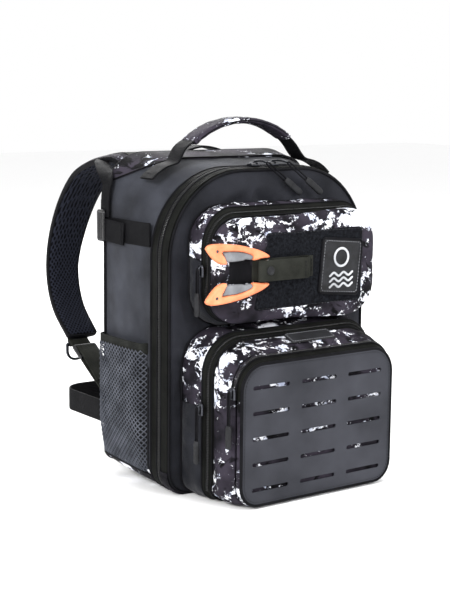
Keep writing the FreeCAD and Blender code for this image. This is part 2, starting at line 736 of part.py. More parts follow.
def build_handle():
    """A webbing handle with a wrapped grip, and the tabs that sew it to the top."""
    span, rise = size("handle_half_span"), size("handle_top") - size("handle_axis_z")
    radius = (span * span + rise * rise) / (2 * rise)
    end = math.degrees(math.asin(span / radius))
    grip_end = 0.72 * end
    web, grip = size("webbing_width"), size("grip_width")
    thick, grip_thick = size("handle_thick"), size("grip_thick")
    middle = -5.0
    legs = []
    for name, start, stop in (("left", -end, -grip_end), ("right", grip_end, end)):
        shape = handle_arch(start, stop, grip_thick / 2 + thick / 2, grip_thick / 2 - thick / 2,
                            middle - web / 2, web)
        legs.append(feature(f"handle_leg_{name}", shape))
    group("handle_webbing", legs)
    shape = handle_arch(-grip_end, grip_end, grip_thick, 0, middle - grip / 2, grip)
    label("handle_grip", feature("handle_grip", shape))

    tabs = []
    for name, sign in (("left", -1), ("right", 1)):
        tilt = math.radians(TAB_TILT)
        reach = Vector(sign * math.sin(tilt), 0, math.cos(tilt)) * TAB_RADIUS
        tab = Part.makeBox(34, 24, 1.6, Vector(-17, -12, 0))
        at = Placement(Vector(sign * TAB_CENTRE_X, middle, TAB_CENTRE_Z) + reach,
                       Rotation(Vector(0, 1, 0), sign * TAB_TILT))
        tabs.append(feature(f"tab_{name}", tab, at))
    group("handle_tabs", tabs)


# --------------------------------------------------------------------- zips

def slider(node, at, turn):
    """A zip slider: a plate along its travel with a bridge that carries the pull.
    As built, its travel is local Z and its outer face is local -Y."""
    body = new_body(node)
    outline = ("sizes.slider_width / 2", "sizes.slider_length", "2", "3.2")
    pad(body, rounded_sketch(body, node + "_plate", outline), node + "_pad", "sizes.slider_thick")
    bridge = rounded_sketch(body, node + "_bridge", ("1.4", "6", "1.2", "1.2"), lift="3")
    pad(body, bridge, node + "_post", "sizes.slider_thick + sizes.bridge_height")
    body.Placement = Placement(at, turn)
    return body


def pull(node, at, turn, length="sizes.pull_length", link=None):
    """A cord loop and its moulded sleeve, hanging along local -Z from its top end.
    A link is the stretch of cord that reaches back along local Y to the slider."""
    body = new_body(node)
    cord = rounded_sketch(body, node + "_cord", ("2.4", f"{length} - 6", "2.2", "2.2"), lift="6",
                          forward="-sizes.cord_thick / 2")
    pad(body, cord, node + "_loop", "sizes.cord_thick")
    sleeve = rounded_sketch(body, node + "_sleeve", ("3.6", "sizes.sleeve_length", "3", "3"),
                            forward="-sizes.sleeve_thick / 2")
    pad(body, sleeve, node + "_grip", "sizes.sleeve_thick")
    if link:
        reach = rounded_sketch(body, node + "_link", ("1.4", "2.4", "0.9", "0.9"),
                               lift=f"{length} - 2.4", forward=f"-({link})")
        pad(body, reach, node + "_reach", link)
    drop = turn.multVec(Vector(0, 0, -value(length)))
    body.Placement = Placement(at + drop, turn)
    return body


def build_zips():
    flat = Rotation(Vector(1, 0, 0), -90)                   # outer face up
    along_x = flat.multiply(Rotation(Vector(0, 1, 0), 90))
    top = size("pack_top_front") + 0.4
    coil_y = size("zip_split_y")
    lean = Rotation(Vector(0, 1, 0), -size("pull_lean"))
    for side, x, y in (("left", -12.0, -72.2), ("right", 12.0, -77.8)):
        slider(f"main_slider_{side}", Vector(x - size("slider_length") / 2, coil_y, top), along_x)
        pull(f"main_pull_{side}", Vector(x, y, top + 5.4), lean, link=f"{coil_y - 2.0 - y}")

    left_face = Rotation(Vector(0, 0, 1), -90)              # outer face towards -X
    stand_off = 6.0
    side_zips = (
        ("upper", "cover_half_width", "upper_split_y", 234.0, "50", 1.4),
        ("rear", "rear_half_width", "rear_split_y", 94.0, "sizes.pull_length", 1.4),
        ("front", "front_half_width_face", "front_split_y", 116.0, "sizes.pull_length", 2.2),
    )
    for name, half, split, z, length, gap in side_zips:
        x, y = -size(half) - gap, size(split)
        slider(f"{name}_slider", Vector(x, y, z), left_face)
        pull(f"{name}_pull", Vector(x - stand_off, y, z + 9), left_face, length)


# ------------------------------------------------------------------- pliers

UPPER_GRIP = [(-119.0, 263.5), (-100.0, 268.0), (-80.0, 266.0), (-58.0, 259.0), (-42.5, 253.0),
              (-46.0, 250.0), (-64.0, 251.0), (-82.0, 255.5), (-97.0, 256.5), (-95.0, 248.5),
              (-101.0, 246.8), (-108.0, 249.0), (-109.0, 257.5)]
HINGE_X, HINGE_Z = -34.0, 238.5


def build_pliers():
    """Two halves crossing at a pivot: moulded grips outside, jaws under the band."""
    plane_y, thick = size("plier_plane_y"), size("plier_thick")
    jaw, pin_radius = size("jaw_thick"), size("pin_radius") / 2
    shank = [(-49.0, 248.5), (-44.0, 249.5), (-38.0, 244.5), (-29.0, 239.5), (-22.0, 238.2),
             (8.0, 238.2), (8.0, 237.2), (-22.0, 234.0), (-32.0, 232.5), (-39.0, 236.0), (-46.0, 243.0)]
    for side, sign in (("upper", 1), ("lower", -1)):
        outline = [(x, HINGE_Z + sign * (z - HINGE_Z)) for x, z in UPPER_GRIP]
        grip = blob(outline, plane_y - thick / 2, thick)
        depth = jaw / 2 - 0.05
        layer = plane_y - jaw / 2 if side == "upper" else plane_y + 0.05
        ring = [Vector(x, layer, HINGE_Z + sign * (z - HINGE_Z)) for x, z in shank]
        plate = Part.Face(Part.makePolygon(ring + ring[:1])).extrude(Vector(0, depth, 0))
        running = 0.05 if side == "lower" else 0.0
        bore = Part.makeCylinder(pin_radius + running, 20, Vector(HINGE_X, plane_y - 10, HINGE_Z), Vector(0, 1, 0))
        label(f"plier_jaw_{side}", feature(f"plier_jaw_{side}", plate.cut(bore)))
        label(f"plier_grip_{side}", feature(f"plier_grip_{side}", grip.cut(plate)))
    pin = doc.addObject("Part::Cylinder", "pivot_pin")
    bind(pin, "Radius", "sizes.pin_radius / 2")
    bind(pin, "Height", "sizes.jaw_thick")
    pin.Placement = Placement(Vector(HINGE_X, plane_y - jaw / 2, HINGE_Z), Rotation(Vector(1, 0, 0), -90))
    label("pivot_pin", pin)


# --------------------------------------------------------------------- write

build_pack()
build_yoke()
build_zip_band()
build_door_corners()
build_upper_pocket()
build_lower_pocket()
build_sides()
build_harness()
build_rings()
build_belt()
build_haul_loop()
build_handle()
build_zips()
build_pliers()
doc.recompute()

for entry in doc.Objects:
    if "Invalid" in entry.State or "Error" in entry.State:
        raise RuntimeError(f"{entry.Name}: {entry.State}")
for node, entry in parts.items():
    if entry.Shape.isNull() or not entry.Shape.isValid():
        raise RuntimeError(f"{node} has no valid shape")

os.makedirs("parts", exist_ok=True)
for node, entry in parts.items():
    entry.Shape.exportStep(os.path.join("parts", node + ".step"))
print(len(parts), "parts written")
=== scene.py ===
"""Looks of the tackle backpack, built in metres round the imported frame."""
import math

import bmesh
import bpy
import numpy as np
from mathutils import Matrix, Vector, noise
from mathutils.geometry import delaunay_2d_cdt


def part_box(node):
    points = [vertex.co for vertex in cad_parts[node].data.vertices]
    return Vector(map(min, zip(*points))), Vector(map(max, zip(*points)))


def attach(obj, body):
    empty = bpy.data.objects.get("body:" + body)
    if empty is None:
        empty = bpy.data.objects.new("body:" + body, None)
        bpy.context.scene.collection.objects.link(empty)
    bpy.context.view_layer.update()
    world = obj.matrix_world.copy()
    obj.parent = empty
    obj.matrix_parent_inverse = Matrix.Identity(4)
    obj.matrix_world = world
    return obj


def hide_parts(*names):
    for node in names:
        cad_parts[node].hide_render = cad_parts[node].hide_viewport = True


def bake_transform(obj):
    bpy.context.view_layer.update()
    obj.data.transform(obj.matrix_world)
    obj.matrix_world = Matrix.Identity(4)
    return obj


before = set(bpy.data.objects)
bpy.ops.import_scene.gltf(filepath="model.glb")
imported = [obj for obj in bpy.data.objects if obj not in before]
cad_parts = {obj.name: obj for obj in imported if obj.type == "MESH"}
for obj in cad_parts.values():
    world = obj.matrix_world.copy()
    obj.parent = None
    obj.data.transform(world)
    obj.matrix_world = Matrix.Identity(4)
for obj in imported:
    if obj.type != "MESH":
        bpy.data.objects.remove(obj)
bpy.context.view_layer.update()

MM = 0.001
FLOOR_GAP = 0.2 * MM      # no cloth reaches lower than this

# The camera stands in front and to the left of the pack, a little above its middle.
CAMERA_AZIMUTH = math.radians(-36.49)
CAMERA_ELEVATION = math.radians(8.95)
CAMERA_ROLL = math.radians(0.59)
CAMERA_DISTANCE = 1.559
CAMERA_LENS = 84.33
CAMERA_TARGET = Vector((0, 0, 0.208))
CAMERA_SLIDE = Vector((-0.0103, -0.0193))

# Points along each stretch of a rounded outline, which starts at the middle of its foot.
FOOT, LOW, SIDE, HIGH, TOP = 10, 7, 34, 14, 30
RIGHT_FOOT = FOOT + LOW
RIGHT_HEAD = RIGHT_FOOT + SIDE
TOP_RIGHT = RIGHT_HEAD + HIGH
TOP_LEFT = TOP_RIGHT + TOP
LEFT_HEAD = TOP_LEFT + HIGH
LEFT_FOOT = LEFT_HEAD + SIDE
AROUND = 2 * (FOOT + LOW + SIDE + HIGH) + TOP


# ---------------------------------------------------------------- colours and shader nodes

DULL, HARD = 0.05, 0.5      # how much a fabric and a plastic mirror
SHEEN = 0.06
SMUDGE = 0.12               # how far a fabric's roughness strays from its mean


def colour(red, green, blue):
    """A linear colour from 0 to 255 screen values."""
    linear = [((v / 255 + 0.055) / 1.055) ** 2.4 if v > 10 else v / 255 / 12.92 for v in (red, green, blue)]
    return (*linear, 1.0)


class Finish:
    """A material with a Principled shader, and short calls for the nodes that feed it."""

    def __init__(self, name, roughness, metallic=0.0, mirror=DULL):
        self.material = bpy.data.materials.new(name)
        self.material.use_nodes = True
        self.tree = self.material.node_tree
        self.shader = self.tree.nodes["Principled BSDF"]
        self.shader.inputs["Roughness"].default_value = roughness
        self.shader.inputs["Metallic"].default_value = metallic
        self.shader.inputs["Specular IOR Level"].default_value = mirror
        self.place = self.node("ShaderNodeTexCoord").outputs["Object"]

    def node(self, kind, **settings):
        made = self.tree.nodes.new(kind)
        for key, value in settings.items():
            setattr(made, key, value)
        return made

    def join(self, source, target):
        """Links a socket, or sets a constant; three numbers are a colour in screen values."""
        if isinstance(source, bpy.types.NodeSocket):
            self.tree.links.new(source, target)
        elif isinstance(source, tuple) and len(source) == 3:
            target.default_value = colour(*source)
        else:
            target.default_value = source

    def math(self, operation, first, second=0.0):
        made = self.node("ShaderNodeMath", operation=operation)
        self.join(first, made.inputs[0])
        self.join(second, made.inputs[1])
        return made.outputs[0]

    def stretched(self, factors, turn=(0, 0, 0), shift=(0, 0, 0)):
        """The object's coordinates, turned, scaled and shifted."""
        made = self.node("ShaderNodeMapping")
        made.inputs["Scale"].default_value = factors
        made.inputs["Rotation"].default_value = turn
        made.inputs["Location"].default_value = shift
        self.join(self.place, made.inputs["Vector"])
        return made.outputs[0]

    def noise(self, size, detail=3.0, roughness=0.5, distortion=0.0, place=None):
        """Cloudy noise whose largest blotches measure size, in metres."""
        made = self.node("ShaderNodeTexNoise")
        made.inputs["Scale"].default_value = 1 / size
        made.inputs["Detail"].default_value = detail
        made.inputs["Roughness"].default_value = roughness
        made.inputs["Distortion"].default_value = distortion
        self.join(place or self.place, made.inputs["Vector"])
        return made.outputs["Fac"]

    def cells(self, size):
        made = self.node("ShaderNodeTexVoronoi", feature="F1")
        made.inputs["Scale"].default_value = 1 / size
        self.join(self.place, made.inputs["Vector"])
        return made.outputs["Distance"]

    def threads(self, pitch, axes):
        """Parallel threads, 0 in the gaps and 1 on the crowns, across the sum of the given axes."""
        split = self.node("ShaderNodeSeparateXYZ")
        self.join(self.place, split.inputs[0])
        along = None
        for axis, share in axes.items():
            part = self.math("MULTIPLY", split.outputs[axis], share * 2 * math.pi / pitch)
            along = part if along is None else self.math("ADD", along, part)
        return self.math("ADD", self.math("MULTIPLY", self.math("SINE", along), 0.5), 0.5)

    def weave(self, pitch):
        """A plain weave that shows on faces of any direction."""
        warp = self.threads(pitch, {"X": 1, "Y": 1})
        weft = self.threads(pitch, {"Z": 1, "Y": 1})
        return self.math("MULTIPLY", warp, weft)

    def ramp(self, value, low, high):
        """0 below low and 1 above high."""
        made = self.node("ShaderNodeMapRange", clamp=True)
        self.join(value, made.inputs["Value"])
        made.inputs["From Min"].default_value = low
        made.inputs["From Max"].default_value = high
        return made.outputs["Result"]

    def mix(self, share, first, second):
        made = self.node("ShaderNodeMix", data_type="RGBA")
        self.join(share, made.inputs[0])
        self.join(first, made.inputs[6])
        self.join(second, made.inputs[7])
        return made.outputs[2]

    def paint(self, value):
        self.join(value, self.shader.inputs["Base Color"])

    def paint_tone_and_lit_crowns(self, threads, share, clouds, dark, light):
        """Cloudy tones from dark to light, with the crowns of the threads lighter by a share: a painted
        highlight on the crowns and painted shade in the gaps between them.
        """
        shade = self.mix(self.ramp(clouds, 0.3, 0.7), dark, light)
        self.paint(self.mix(self.math("MULTIPLY", threads, share), shade, light))

    def gloss(self, value, low, high):
        """Roughness from low to high as value goes from 0 to 1."""
        made = self.node("ShaderNodeMapRange")
        self.join(value, made.inputs["Value"])
        made.inputs["To Min"].default_value = low
        made.inputs["To Max"].default_value = high
        self.join(made.outputs["Result"], self.shader.inputs["Roughness"])

    def relief(self, layers):
        """Stacks bumps, each a height from 0 to 1 and its depth in metres."""
        last = None
        for height, depth in layers:
            made = self.node("ShaderNodeBump")
            made.inputs["Strength"].default_value = 1.0
            made.inputs["Distance"].default_value = depth
            self.join(height, made.inputs["Height"])
            if last is not None:
                self.join(last, made.inputs["Normal"])
            last = made.outputs[0]
        self.join(last, self.shader.inputs["Normal"])


def cloth(name, dark, light, pitch=0.9 * MM, roughness=0.68, crumple=0.35 * MM):
    """Woven cloth: threads, a cloudy change of shade and a soft crumple."""
    made = Finish(name, roughness)
    made.shader.inputs["Sheen Weight"].default_value = SHEEN
    threads = made.weave(pitch)
    # Lighter thread crowns and darker gaps here are painted light and painted shade on the weave.
    made.paint_tone_and_lit_crowns(threads, 0.35, made.noise(45 * MM, detail=5), dark, light)
    made.gloss(made.noise(12 * MM, detail=4), roughness - SMUDGE, roughness + SMUDGE)
    made.relief([(made.noise(16 * MM, detail=4, distortion=0.4), crumple), (threads, 0.12 * MM)])
    return made.material


def camouflage(name, shift, bare=0.705):
    """Splattered print: a dark ground, black patches and jagged pale splashes; a high bare gives fewer."""
    made = Finish(name, 0.5)
    slanted = made.stretched((1.0, 1.0, 1.3), (0.2, 0.4, 0.2), shift)
    ground = made.mix(made.ramp(made.noise(42 * MM, detail=3, place=slanted), 0.4, 0.62),
                      (20, 19, 23), (50, 46, 55))
    black = made.noise(30 * MM, detail=7, roughness=0.62, distortion=0.9, place=slanted)
    shaded = made.mix(made.ramp(black, 0.54, 0.6), ground, (8, 8, 10))
    clusters = made.noise(60 * MM, detail=1, place=slanted)
    splash = made.noise(17 * MM, detail=9, roughness=0.72, distortion=0.5, place=slanted)
    spots = made.noise(4 * MM, detail=4, roughness=0.7, distortion=0.4, place=slanted)
    broken = made.math("ADD", made.math("MULTIPLY", splash, 0.78), made.math("MULTIPLY", spots, 0.22))
    mixed = made.math("ADD", broken, made.math("MULTIPLY", clusters, 0.3))
    pale = made.mix(made.ramp(made.noise(12 * MM, place=slanted), 0.3, 0.55),
                    (178, 186, 210), (246, 248, 255))
    made.paint(made.mix(made.ramp(mixed, bare, bare + 0.009), shaded, pale))
    threads = made.weave(0.8 * MM)
    made.gloss(made.noise(15 * MM, detail=4), 0.5, 0.75)
    made.relief([(made.noise(18 * MM, detail=4), 0.5 * MM), (threads, 0.08 * MM)])
    return made.material


def ribbed(name, dark, light, pitch, axes, roughness=0.6, depth=0.25 * MM):
    """Tape or webbing with ribs across the given axes."""
    made = Finish(name, roughness)
    ribs = made.threads(pitch, axes)
    # Lighter rib crowns and darker grooves here are a painted sheen and painted shade.
    made.paint_tone_and_lit_crowns(ribs, 0.5, made.noise(20 * MM, detail=4), dark, light)
    made.gloss(made.noise(9 * MM, detail=4), roughness - SMUDGE, roughness + SMUDGE)
    made.relief([(ribs, depth), (made.weave(0.7 * MM), 0.06 * MM)])
    return made.material


def pile(name, dark, light):
    """Looped pile: a fuzzy, dull face, with the higher tufts painted lighter as a painted sheen and the lower
    ones darker as painted shade.
    """
    made = Finish(name, 0.95)
    loops = made.cells(1.1 * MM)
    tufts = made.noise(3 * MM, detail=8, roughness=0.8)
    # The tufts that stand highest are painted lighter: a painted sheen on the tops and painted shade between
    # them.
    made.paint(made.mix(made.ramp(tufts, 0.35, 0.7), dark, light))
    made.relief([(tufts, 1.0 * MM), (loops, 0.5 * MM)])
    return made.material


def spacer(name, dark, light):
    """Padded air mesh: rows of small open cells, painted near black inside as painted shade."""
    made = Finish(name, 0.85)
    rising = made.threads(4.4 * MM, {"X": 1, "Y": 0.6, "Z": 0.6})
    falling = made.threads(4.4 * MM, {"X": -1, "Y": 0.6, "Z": 0.6})
    holes = made.ramp(made.math("MULTIPLY", rising, falling), 0.12, 0.6)
    # The sunk cells get the near-black second colour: painted shade inside them.
    made.paint(made.mix(holes, dark, light))
    made.relief([(holes, -0.7 * MM), (made.weave(0.8 * MM), 0.05 * MM)])
    return made.material


def moulded(name, tint, worn, roughness, mirror=HARD):
    """Moulded plastic or rubber: fine grain, smudged gloss and slightly paler worn patches."""
    made = Finish(name, roughness, mirror=mirror)
    smudge = made.noise(14 * MM, detail=6, roughness=0.6)
    made.paint(made.mix(made.ramp(smudge, 0.35, 0.75), tint, worn))
    made.gloss(smudge, roughness - 0.1, roughness + 0.14)
    made.relief([(made.noise(0.9 * MM, detail=3), 0.05 * MM), (made.noise(9 * MM), 0.12 * MM)])
    return made.material


def metal(name, tint, worn, roughness=0.28):
    """Plated or brushed metal with fine scratches."""
    made = Finish(name, roughness, metallic=1.0, mirror=HARD)
    scratch = made.noise(2.2 * MM, detail=8, roughness=0.7, place=made.stretched((1, 6, 6), (0.2, 0.3, 0.1)))
    made.paint(made.mix(made.ramp(scratch, 0.35, 0.7), tint, worn))
    made.gloss(scratch, roughness - 0.1, roughness + 0.16)
    made.relief([(scratch, 0.03 * MM)])
    return made.material


def ripstop(name, dark, light):
    """Coated laser-cut cloth: a tight twill with a slightly larger grid."""
    made = Finish(name, 0.58)
    twill = made.threads(1.15 * MM, {"X": 1, "Z": 1})
    grid = made.weave(0.8 * MM)
    # Lighter twill crowns and darker gaps here are painted light and painted shade.
    made.paint_tone_and_lit_crowns(twill, 0.4, made.noise(60 * MM, detail=5), dark, light)
    made.gloss(made.noise(10 * MM, detail=4), 0.48, 0.68)
    made.relief([(made.noise(22 * MM, detail=3), 0.4 * MM), (twill, 0.14 * MM), (grid, 0.06 * MM)])
    return made.material


ALL_WAYS = {"X": 1, "Y": 1, "Z": 1}
FINISH = {
    "body": cloth("charcoal_oxford", (26, 27, 31), (54, 56, 63)),
    "door": cloth("crinkled_oxford", (17, 18, 22), (37, 38, 44), roughness=0.46, crumple=0.6 * MM),
    "dark": cloth("black_cloth", (7, 7, 9), (19, 20, 24), roughness=0.55),
    "camo": camouflage("splatter_print", (0.0, 0.0, 0.06)),
    "camo_low": camouflage("splatter_print_lower", (0.31, 0.12, 0.05)),
    "camo_bare": camouflage("splatter_print_bare", (0.11, 0.4, 0.2), 0.73),
    "tape": ribbed("zip_tape", (7, 7, 7), (21, 22, 20), 1.5 * MM, {"Y": 1}),
    "coil": moulded("coil_nylon", (9, 9, 10), (30, 30, 32), roughness=0.3),
    "binding": ribbed("black_binding", (6, 6, 8), (20, 20, 23), 1.0 * MM, ALL_WAYS, roughness=0.5,
                      depth=0.12 * MM),
    "webbing": ribbed("olive_webbing", (17, 18, 15), (44, 45, 41), 1.5 * MM, ALL_WAYS),
    "strap": ribbed("black_webbing", (6, 6, 8), (20, 20, 22), 1.9 * MM, {"Z": 1, "Y": 1}),
    "mesh": ribbed("pocket_net", (38, 40, 46), (90, 93, 101), 0.6 * MM, ALL_WAYS, depth=0.08 * MM),
    "hem": ribbed("elastic_hem", (15, 16, 15), (38, 39, 37), 1.6 * MM, {"Z": 1}),
    "air": spacer("air_mesh", (34, 36, 45), (5, 5, 8)),
    "pile": pile("loop_pile", (2, 2, 3), (34, 36, 41)),
    "molle": ripstop("grey_ripstop", (40, 41, 45), (62, 63, 69)),
    "plastic": moulded("black_plastic", (6, 6, 8), (24, 24, 27), roughness=0.28),
    "rubber": moulded("pull_rubber", (14, 14, 16), (38, 39, 42), roughness=0.5, mirror=0.2),
    "orange": moulded("orange_grip", (228, 120, 76), (246, 152, 108), roughness=0.4),
    "grey": moulded("grey_inlay", (92, 94, 98), (128, 130, 134), roughness=0.6),
    "gunmetal": metal("gunmetal", (46, 47, 52), (92, 94, 100)),
    "steel": metal("brushed_steel", (150, 152, 156), (206, 208, 212)),
    "thread": cloth("pale_thread", (92, 93, 98), (150, 152, 158), pitch=0.4 * MM),
    "black_thread": cloth("black_thread", (16, 16, 18), (40, 40, 44), pitch=0.4 * MM),
    "emblem": cloth("emblem_thread", (150, 152, 156), (206, 208, 212), pitch=0.5 * MM),
    "board": moulded("stiffener", (24, 24, 26), (48, 48, 50), roughness=0.7),
}


# ---------------------------------------------------------------- shapes

def span(node):
    """Lowest and highest corner of a CAD node, as arrays."""
    low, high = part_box(node)
    return np.array(low), np.array(high)


def outline(half, low, high, low_radius, high_radius, middle=0.0):
    """A closed (x, z) loop with rounded corners, always with the same number of points."""
    def corner(x, z, radius, start, count):
        turn = np.radians(start) + np.linspace(0, math.pi / 2, count, endpoint=False)
        return np.column_stack((x + radius * np.cos(turn), z + radius * np.sin(turn)))

    def straight(first, last, count):
        share = np.linspace(0, 1, count, endpoint=False)[:, None]
        return np.array(first) * (1 - share) + np.array(last) * share

    left, right = middle - half, middle + half
    low_z, high_z = low + low_radius, high - high_radius
    parts = [
        straight((middle, low), (right - low_radius, low), FOOT),
        corner(right - low_radius, low_z, low_radius, -90, LOW),
        straight((right, low_z), (right, high_z), SIDE),
        corner(right - high_radius, high_z, high_radius, 0, HIGH),
        straight((right - high_radius, high), (left + high_radius, high), TOP),
        corner(left + high_radius, high_z, high_radius, 90, HIGH),
        straight((left, high_z), (left, low_z), SIDE),
        corner(left + low_radius, low_z, low_radius, 180, LOW),
        straight((left + low_radius, low), (middle, low), FOOT),
    ]
    return np.vstack(parts)


def node_outline(node, low_radius, high_radius, inset=0.0):
    """The outline of a CAD node seen from the front, pulled in by inset."""
    low, high = span(node)
    half = (high[0] - low[0]) / 2 - inset
    return outline(half, low[2] + inset, high[2] - inset, low_radius, high_radius, (low[0] + high[0]) / 2)


def outward(loop):
    """Unit normals of a closed (x, z) loop, pointing away from its inside."""
    along = np.roll(loop, -1, axis=0) - np.roll(loop, 1, axis=0)
    along /= np.linalg.norm(along, axis=1)[:, None]
    return np.column_stack((along[:, 1], -along[:, 0]))


def standing(loop, y):
    """The (x, z) loop as points in the frame, at depth y."""
    return np.column_stack((loop[:, 0], np.full(len(loop), y), loop[:, 1]))


FADING, FINER, OCTAVES = 0.9, 2.0, 3      # how each octave of noise is weaker and finer, and how many
SEED_STEP = 7.31                          # how far apart in the noise two seeds look


def cloud(points, size, seed, sharp=False):
    """Smooth noise of about -1 to 1 at each point; sharp makes creases instead of waves."""
    flat = points.reshape(-1, 3) / size + seed * SEED_STEP
    values = np.array([noise.fractal(Vector(p), FADING, FINER, OCTAVES) for p in flat])
    if sharp:
        values = 0.35 - np.abs(values) * 2
    return values.reshape(points.shape[:-1])


def smooth_path(points, step=4 * MM):
    """A Catmull-Rom curve through the points, sampled about every step."""
    given = np.array(points, float)
    padded = np.vstack((2 * given[0] - given[1], given, 2 * given[-1] - given[-2]))
    out = []
    for i in range(1, len(padded) - 2):
        before, start, end, after = padded[i - 1:i + 3]
        count = max(2, int(np.linalg.norm(end - start) / step))
        for t in np.linspace(0, 1, count, endpoint=False):
            out.append(0.5 * (2 * start + (end - before) * t
                              + (2 * before - 5 * start + 4 * end - after) * t ** 2
                              + (3 * start - before - 3 * end + after) * t ** 3))
    out.append(given[-1])
    return np.array(out)


def travelled(path):
    """The distance along a path to each of its points."""
    return np.concatenate(([0], np.cumsum(np.linalg.norm(np.diff(path, axis=0), axis=1))))


def sampled(values, spots, travel):
    """Rows that are known at each travelled distance, read at other distances."""
    return np.column_stack([np.interp(spots, travel, values[:, i]) for i in range(3)])


def looped(path):
    """A path that comes back to its first point."""
    return np.vstack((path, path[:1]))


def mirrored(points, sign):
    """Points given for the right side, for the side of that sign."""
    return [(sign * x, y, z) for x, y, z in points]


def arc_path(centre, radius, start, end, y, step=4 * MM):
    """Points on an arc in a plane of constant y, angles in degrees from +X towards +Z."""
    count = max(3, int(abs(math.radians(end - start)) * radius / step))
    turn = np.radians(np.linspace(start, end, count))
    circle = np.column_stack((np.cos(turn), np.sin(turn)))
    return standing(np.array(centre) + circle * radius, y)


WEBBING_WIDTH = 25 * MM
WEBBING_SQUARENESS = 8


def section(width, thickness, squareness=2.0, count=20):
    """A closed flat oval; a high squareness gives the flat section of webbing."""
    turn = np.linspace(0, 2 * math.pi, count, endpoint=False)
    power = 2 / squareness
    across = np.sign(np.cos(turn)) * np.abs(np.cos(turn)) ** power * width / 2
    up = np.sign(np.sin(turn)) * np.abs(np.sin(turn)) ** power * thickness / 2
    return np.column_stack((across, up))


def webbing_section(width, thickness, count=24):
    return section(width, thickness, WEBBING_SQUARENESS, count)


def frames(path, side, closed=False):
    """Unit side and normal vectors along a path; side is the direction that its width runs in."""
    if closed:
        along = np.roll(path, -1, axis=0) - np.roll(path, 1, axis=0)
    else:
        along = np.gradient(path, axis=0)
    along /= np.linalg.norm(along, axis=1)[:, None]
    side = np.broadcast_to(np.array(side, float), path.shape)
    side = side - (side * along).sum(1)[:, None] * along
    side = side / np.linalg.norm(side, axis=1)[:, None]
    return side, np.cross(side, along)


def sweep(path, side, profile, closed=False, taper=None):
    """Rings of one section, or of one for each point, carried along a path."""
    across, normal = frames(path, side, closed)
    profile = np.broadcast_to(profile, (len(path), *profile.shape[-2:]))
    if taper is not None:
        profile = profile * np.array(taper)[:, None, None]
    return (path[:, None] + profile[:, :, :1] * across[:, None] + profile[:, :, 1:] * normal[:, None])


def disc(centre, steps, count=24):
    """Rings of a round stud facing -Y, from pairs of a radius and a depth."""
    turn = np.linspace(0, 2 * math.pi, count, endpoint=False)
    circle = np.column_stack((np.cos(turn), np.sin(turn)))
    return np.array([standing(np.array(centre) + circle * radius, y) for radius, y in steps])


def tube(path, radius, side=(0.31, 0.23, 0.92), closed=False, count=10):
    return sweep(path, side, section(2 * radius, 2 * radius, 2, count), closed)


def hoop(path, radius, count=10):
    """Blocks of a closed round cord along a loop that faces -Y."""
    return [(tube(path, radius, (0, 1, 0), True, count), True)]


def rounded(length, count):
    """How wide a rounded end is at each of count stations, from a tip over the length to full width."""
    share = np.linspace(0, 1, count)
    return np.sqrt(np.clip(1 - (1 - np.minimum(share / length, 1)) ** 2, 0.0004, 1))


def wall(front, rear, y_front, y_rear, thickness, bulge=0.0, wrinkle=0.0, seed=1, size=40 * MM, columns=9,
         first=0, last=None):
    """Rings of a fabric wall that runs round an outline, from a front loop to a rear one.
    With last, it covers only the points from first to last."""
    share = np.linspace(0, 1, columns)
    loops = front[:, None] * (1 - share[:, None]) + rear[:, None] * share[:, None]
    away = outward((front + rear) / 2)[:, None]
    depth = np.broadcast_to((y_front + (y_rear - y_front) * share), loops.shape[:2])
    points = np.dstack((loops[:, :, 0], depth, loops[:, :, 1]))
    swell = bulge * np.sin(math.pi * share)[None]
    if wrinkle:
        swell = swell + wrinkle * cloud(points, size, seed) * np.sin(math.pi * share) ** 0.5
    wide = np.ones(columns)
    out = np.dstack((away[:, :, 0] * wide, np.zeros(loops.shape[:2]), away[:, :, 1] * wide))
    outer = points + out * swell[:, :, None]
    inner = outer - out * thickness
    rings = np.concatenate((outer, inner[:, ::-1]), axis=1)
    if last is None:
        return rings
    return rings[np.arange(first, last + 1) % AROUND]


def cushion(loop, y_back, y_front, crown, edge=6 * MM, wrinkle=0.0, seed=1, size=30 * MM, rings=22,
            sharp=False, hollow=False, shoulder=0.35):
    """Rings of a panel: flat or hollow behind, with a soft rolled edge and a crowned face towards -Y."""
    middle = (loop.max(0) + loop.min(0)) / 2
    reach = np.abs(loop - middle).min(0).max() + 40 * MM
    shares = 1 - np.linspace(0, 1, rings) ** 1.6
    inside = y_front + 3 * MM if hollow else y_back
    made = [standing(middle + (loop - middle) * s, y) for s, y in
            ((0.01, inside), (0.3, inside), (0.6, inside), (0.92, inside), (0.97, y_back), (1.0, y_back))]
    for s in shares:
        s = max(s, 0.01)
        from_edge = (1 - s) * reach
        rolled = 1 - math.exp(-from_edge / edge * 2.2)
        y = y_back + (y_front - y_back) * (shoulder + (1 - shoulder) * rolled) - crown * (1 - s * s)
        made.append(standing(middle + (loop - middle) * s, y))
    made = np.array(made)
    if wrinkle:
        front = made[6:]
        calm = np.clip((1 - np.maximum(shares, 0.01)) * reach / (10 * MM), 0, 1)[:, None]
        front[:, :, 1] -= wrinkle * cloud(front, size, seed, sharp) * calm
    return made


def new_mesh(name, points, faces):
    """A mesh from its points and the faces between them."""
    mesh = bpy.data.meshes.new(name)
    mesh.from_pydata(points, [], faces)
    return mesh


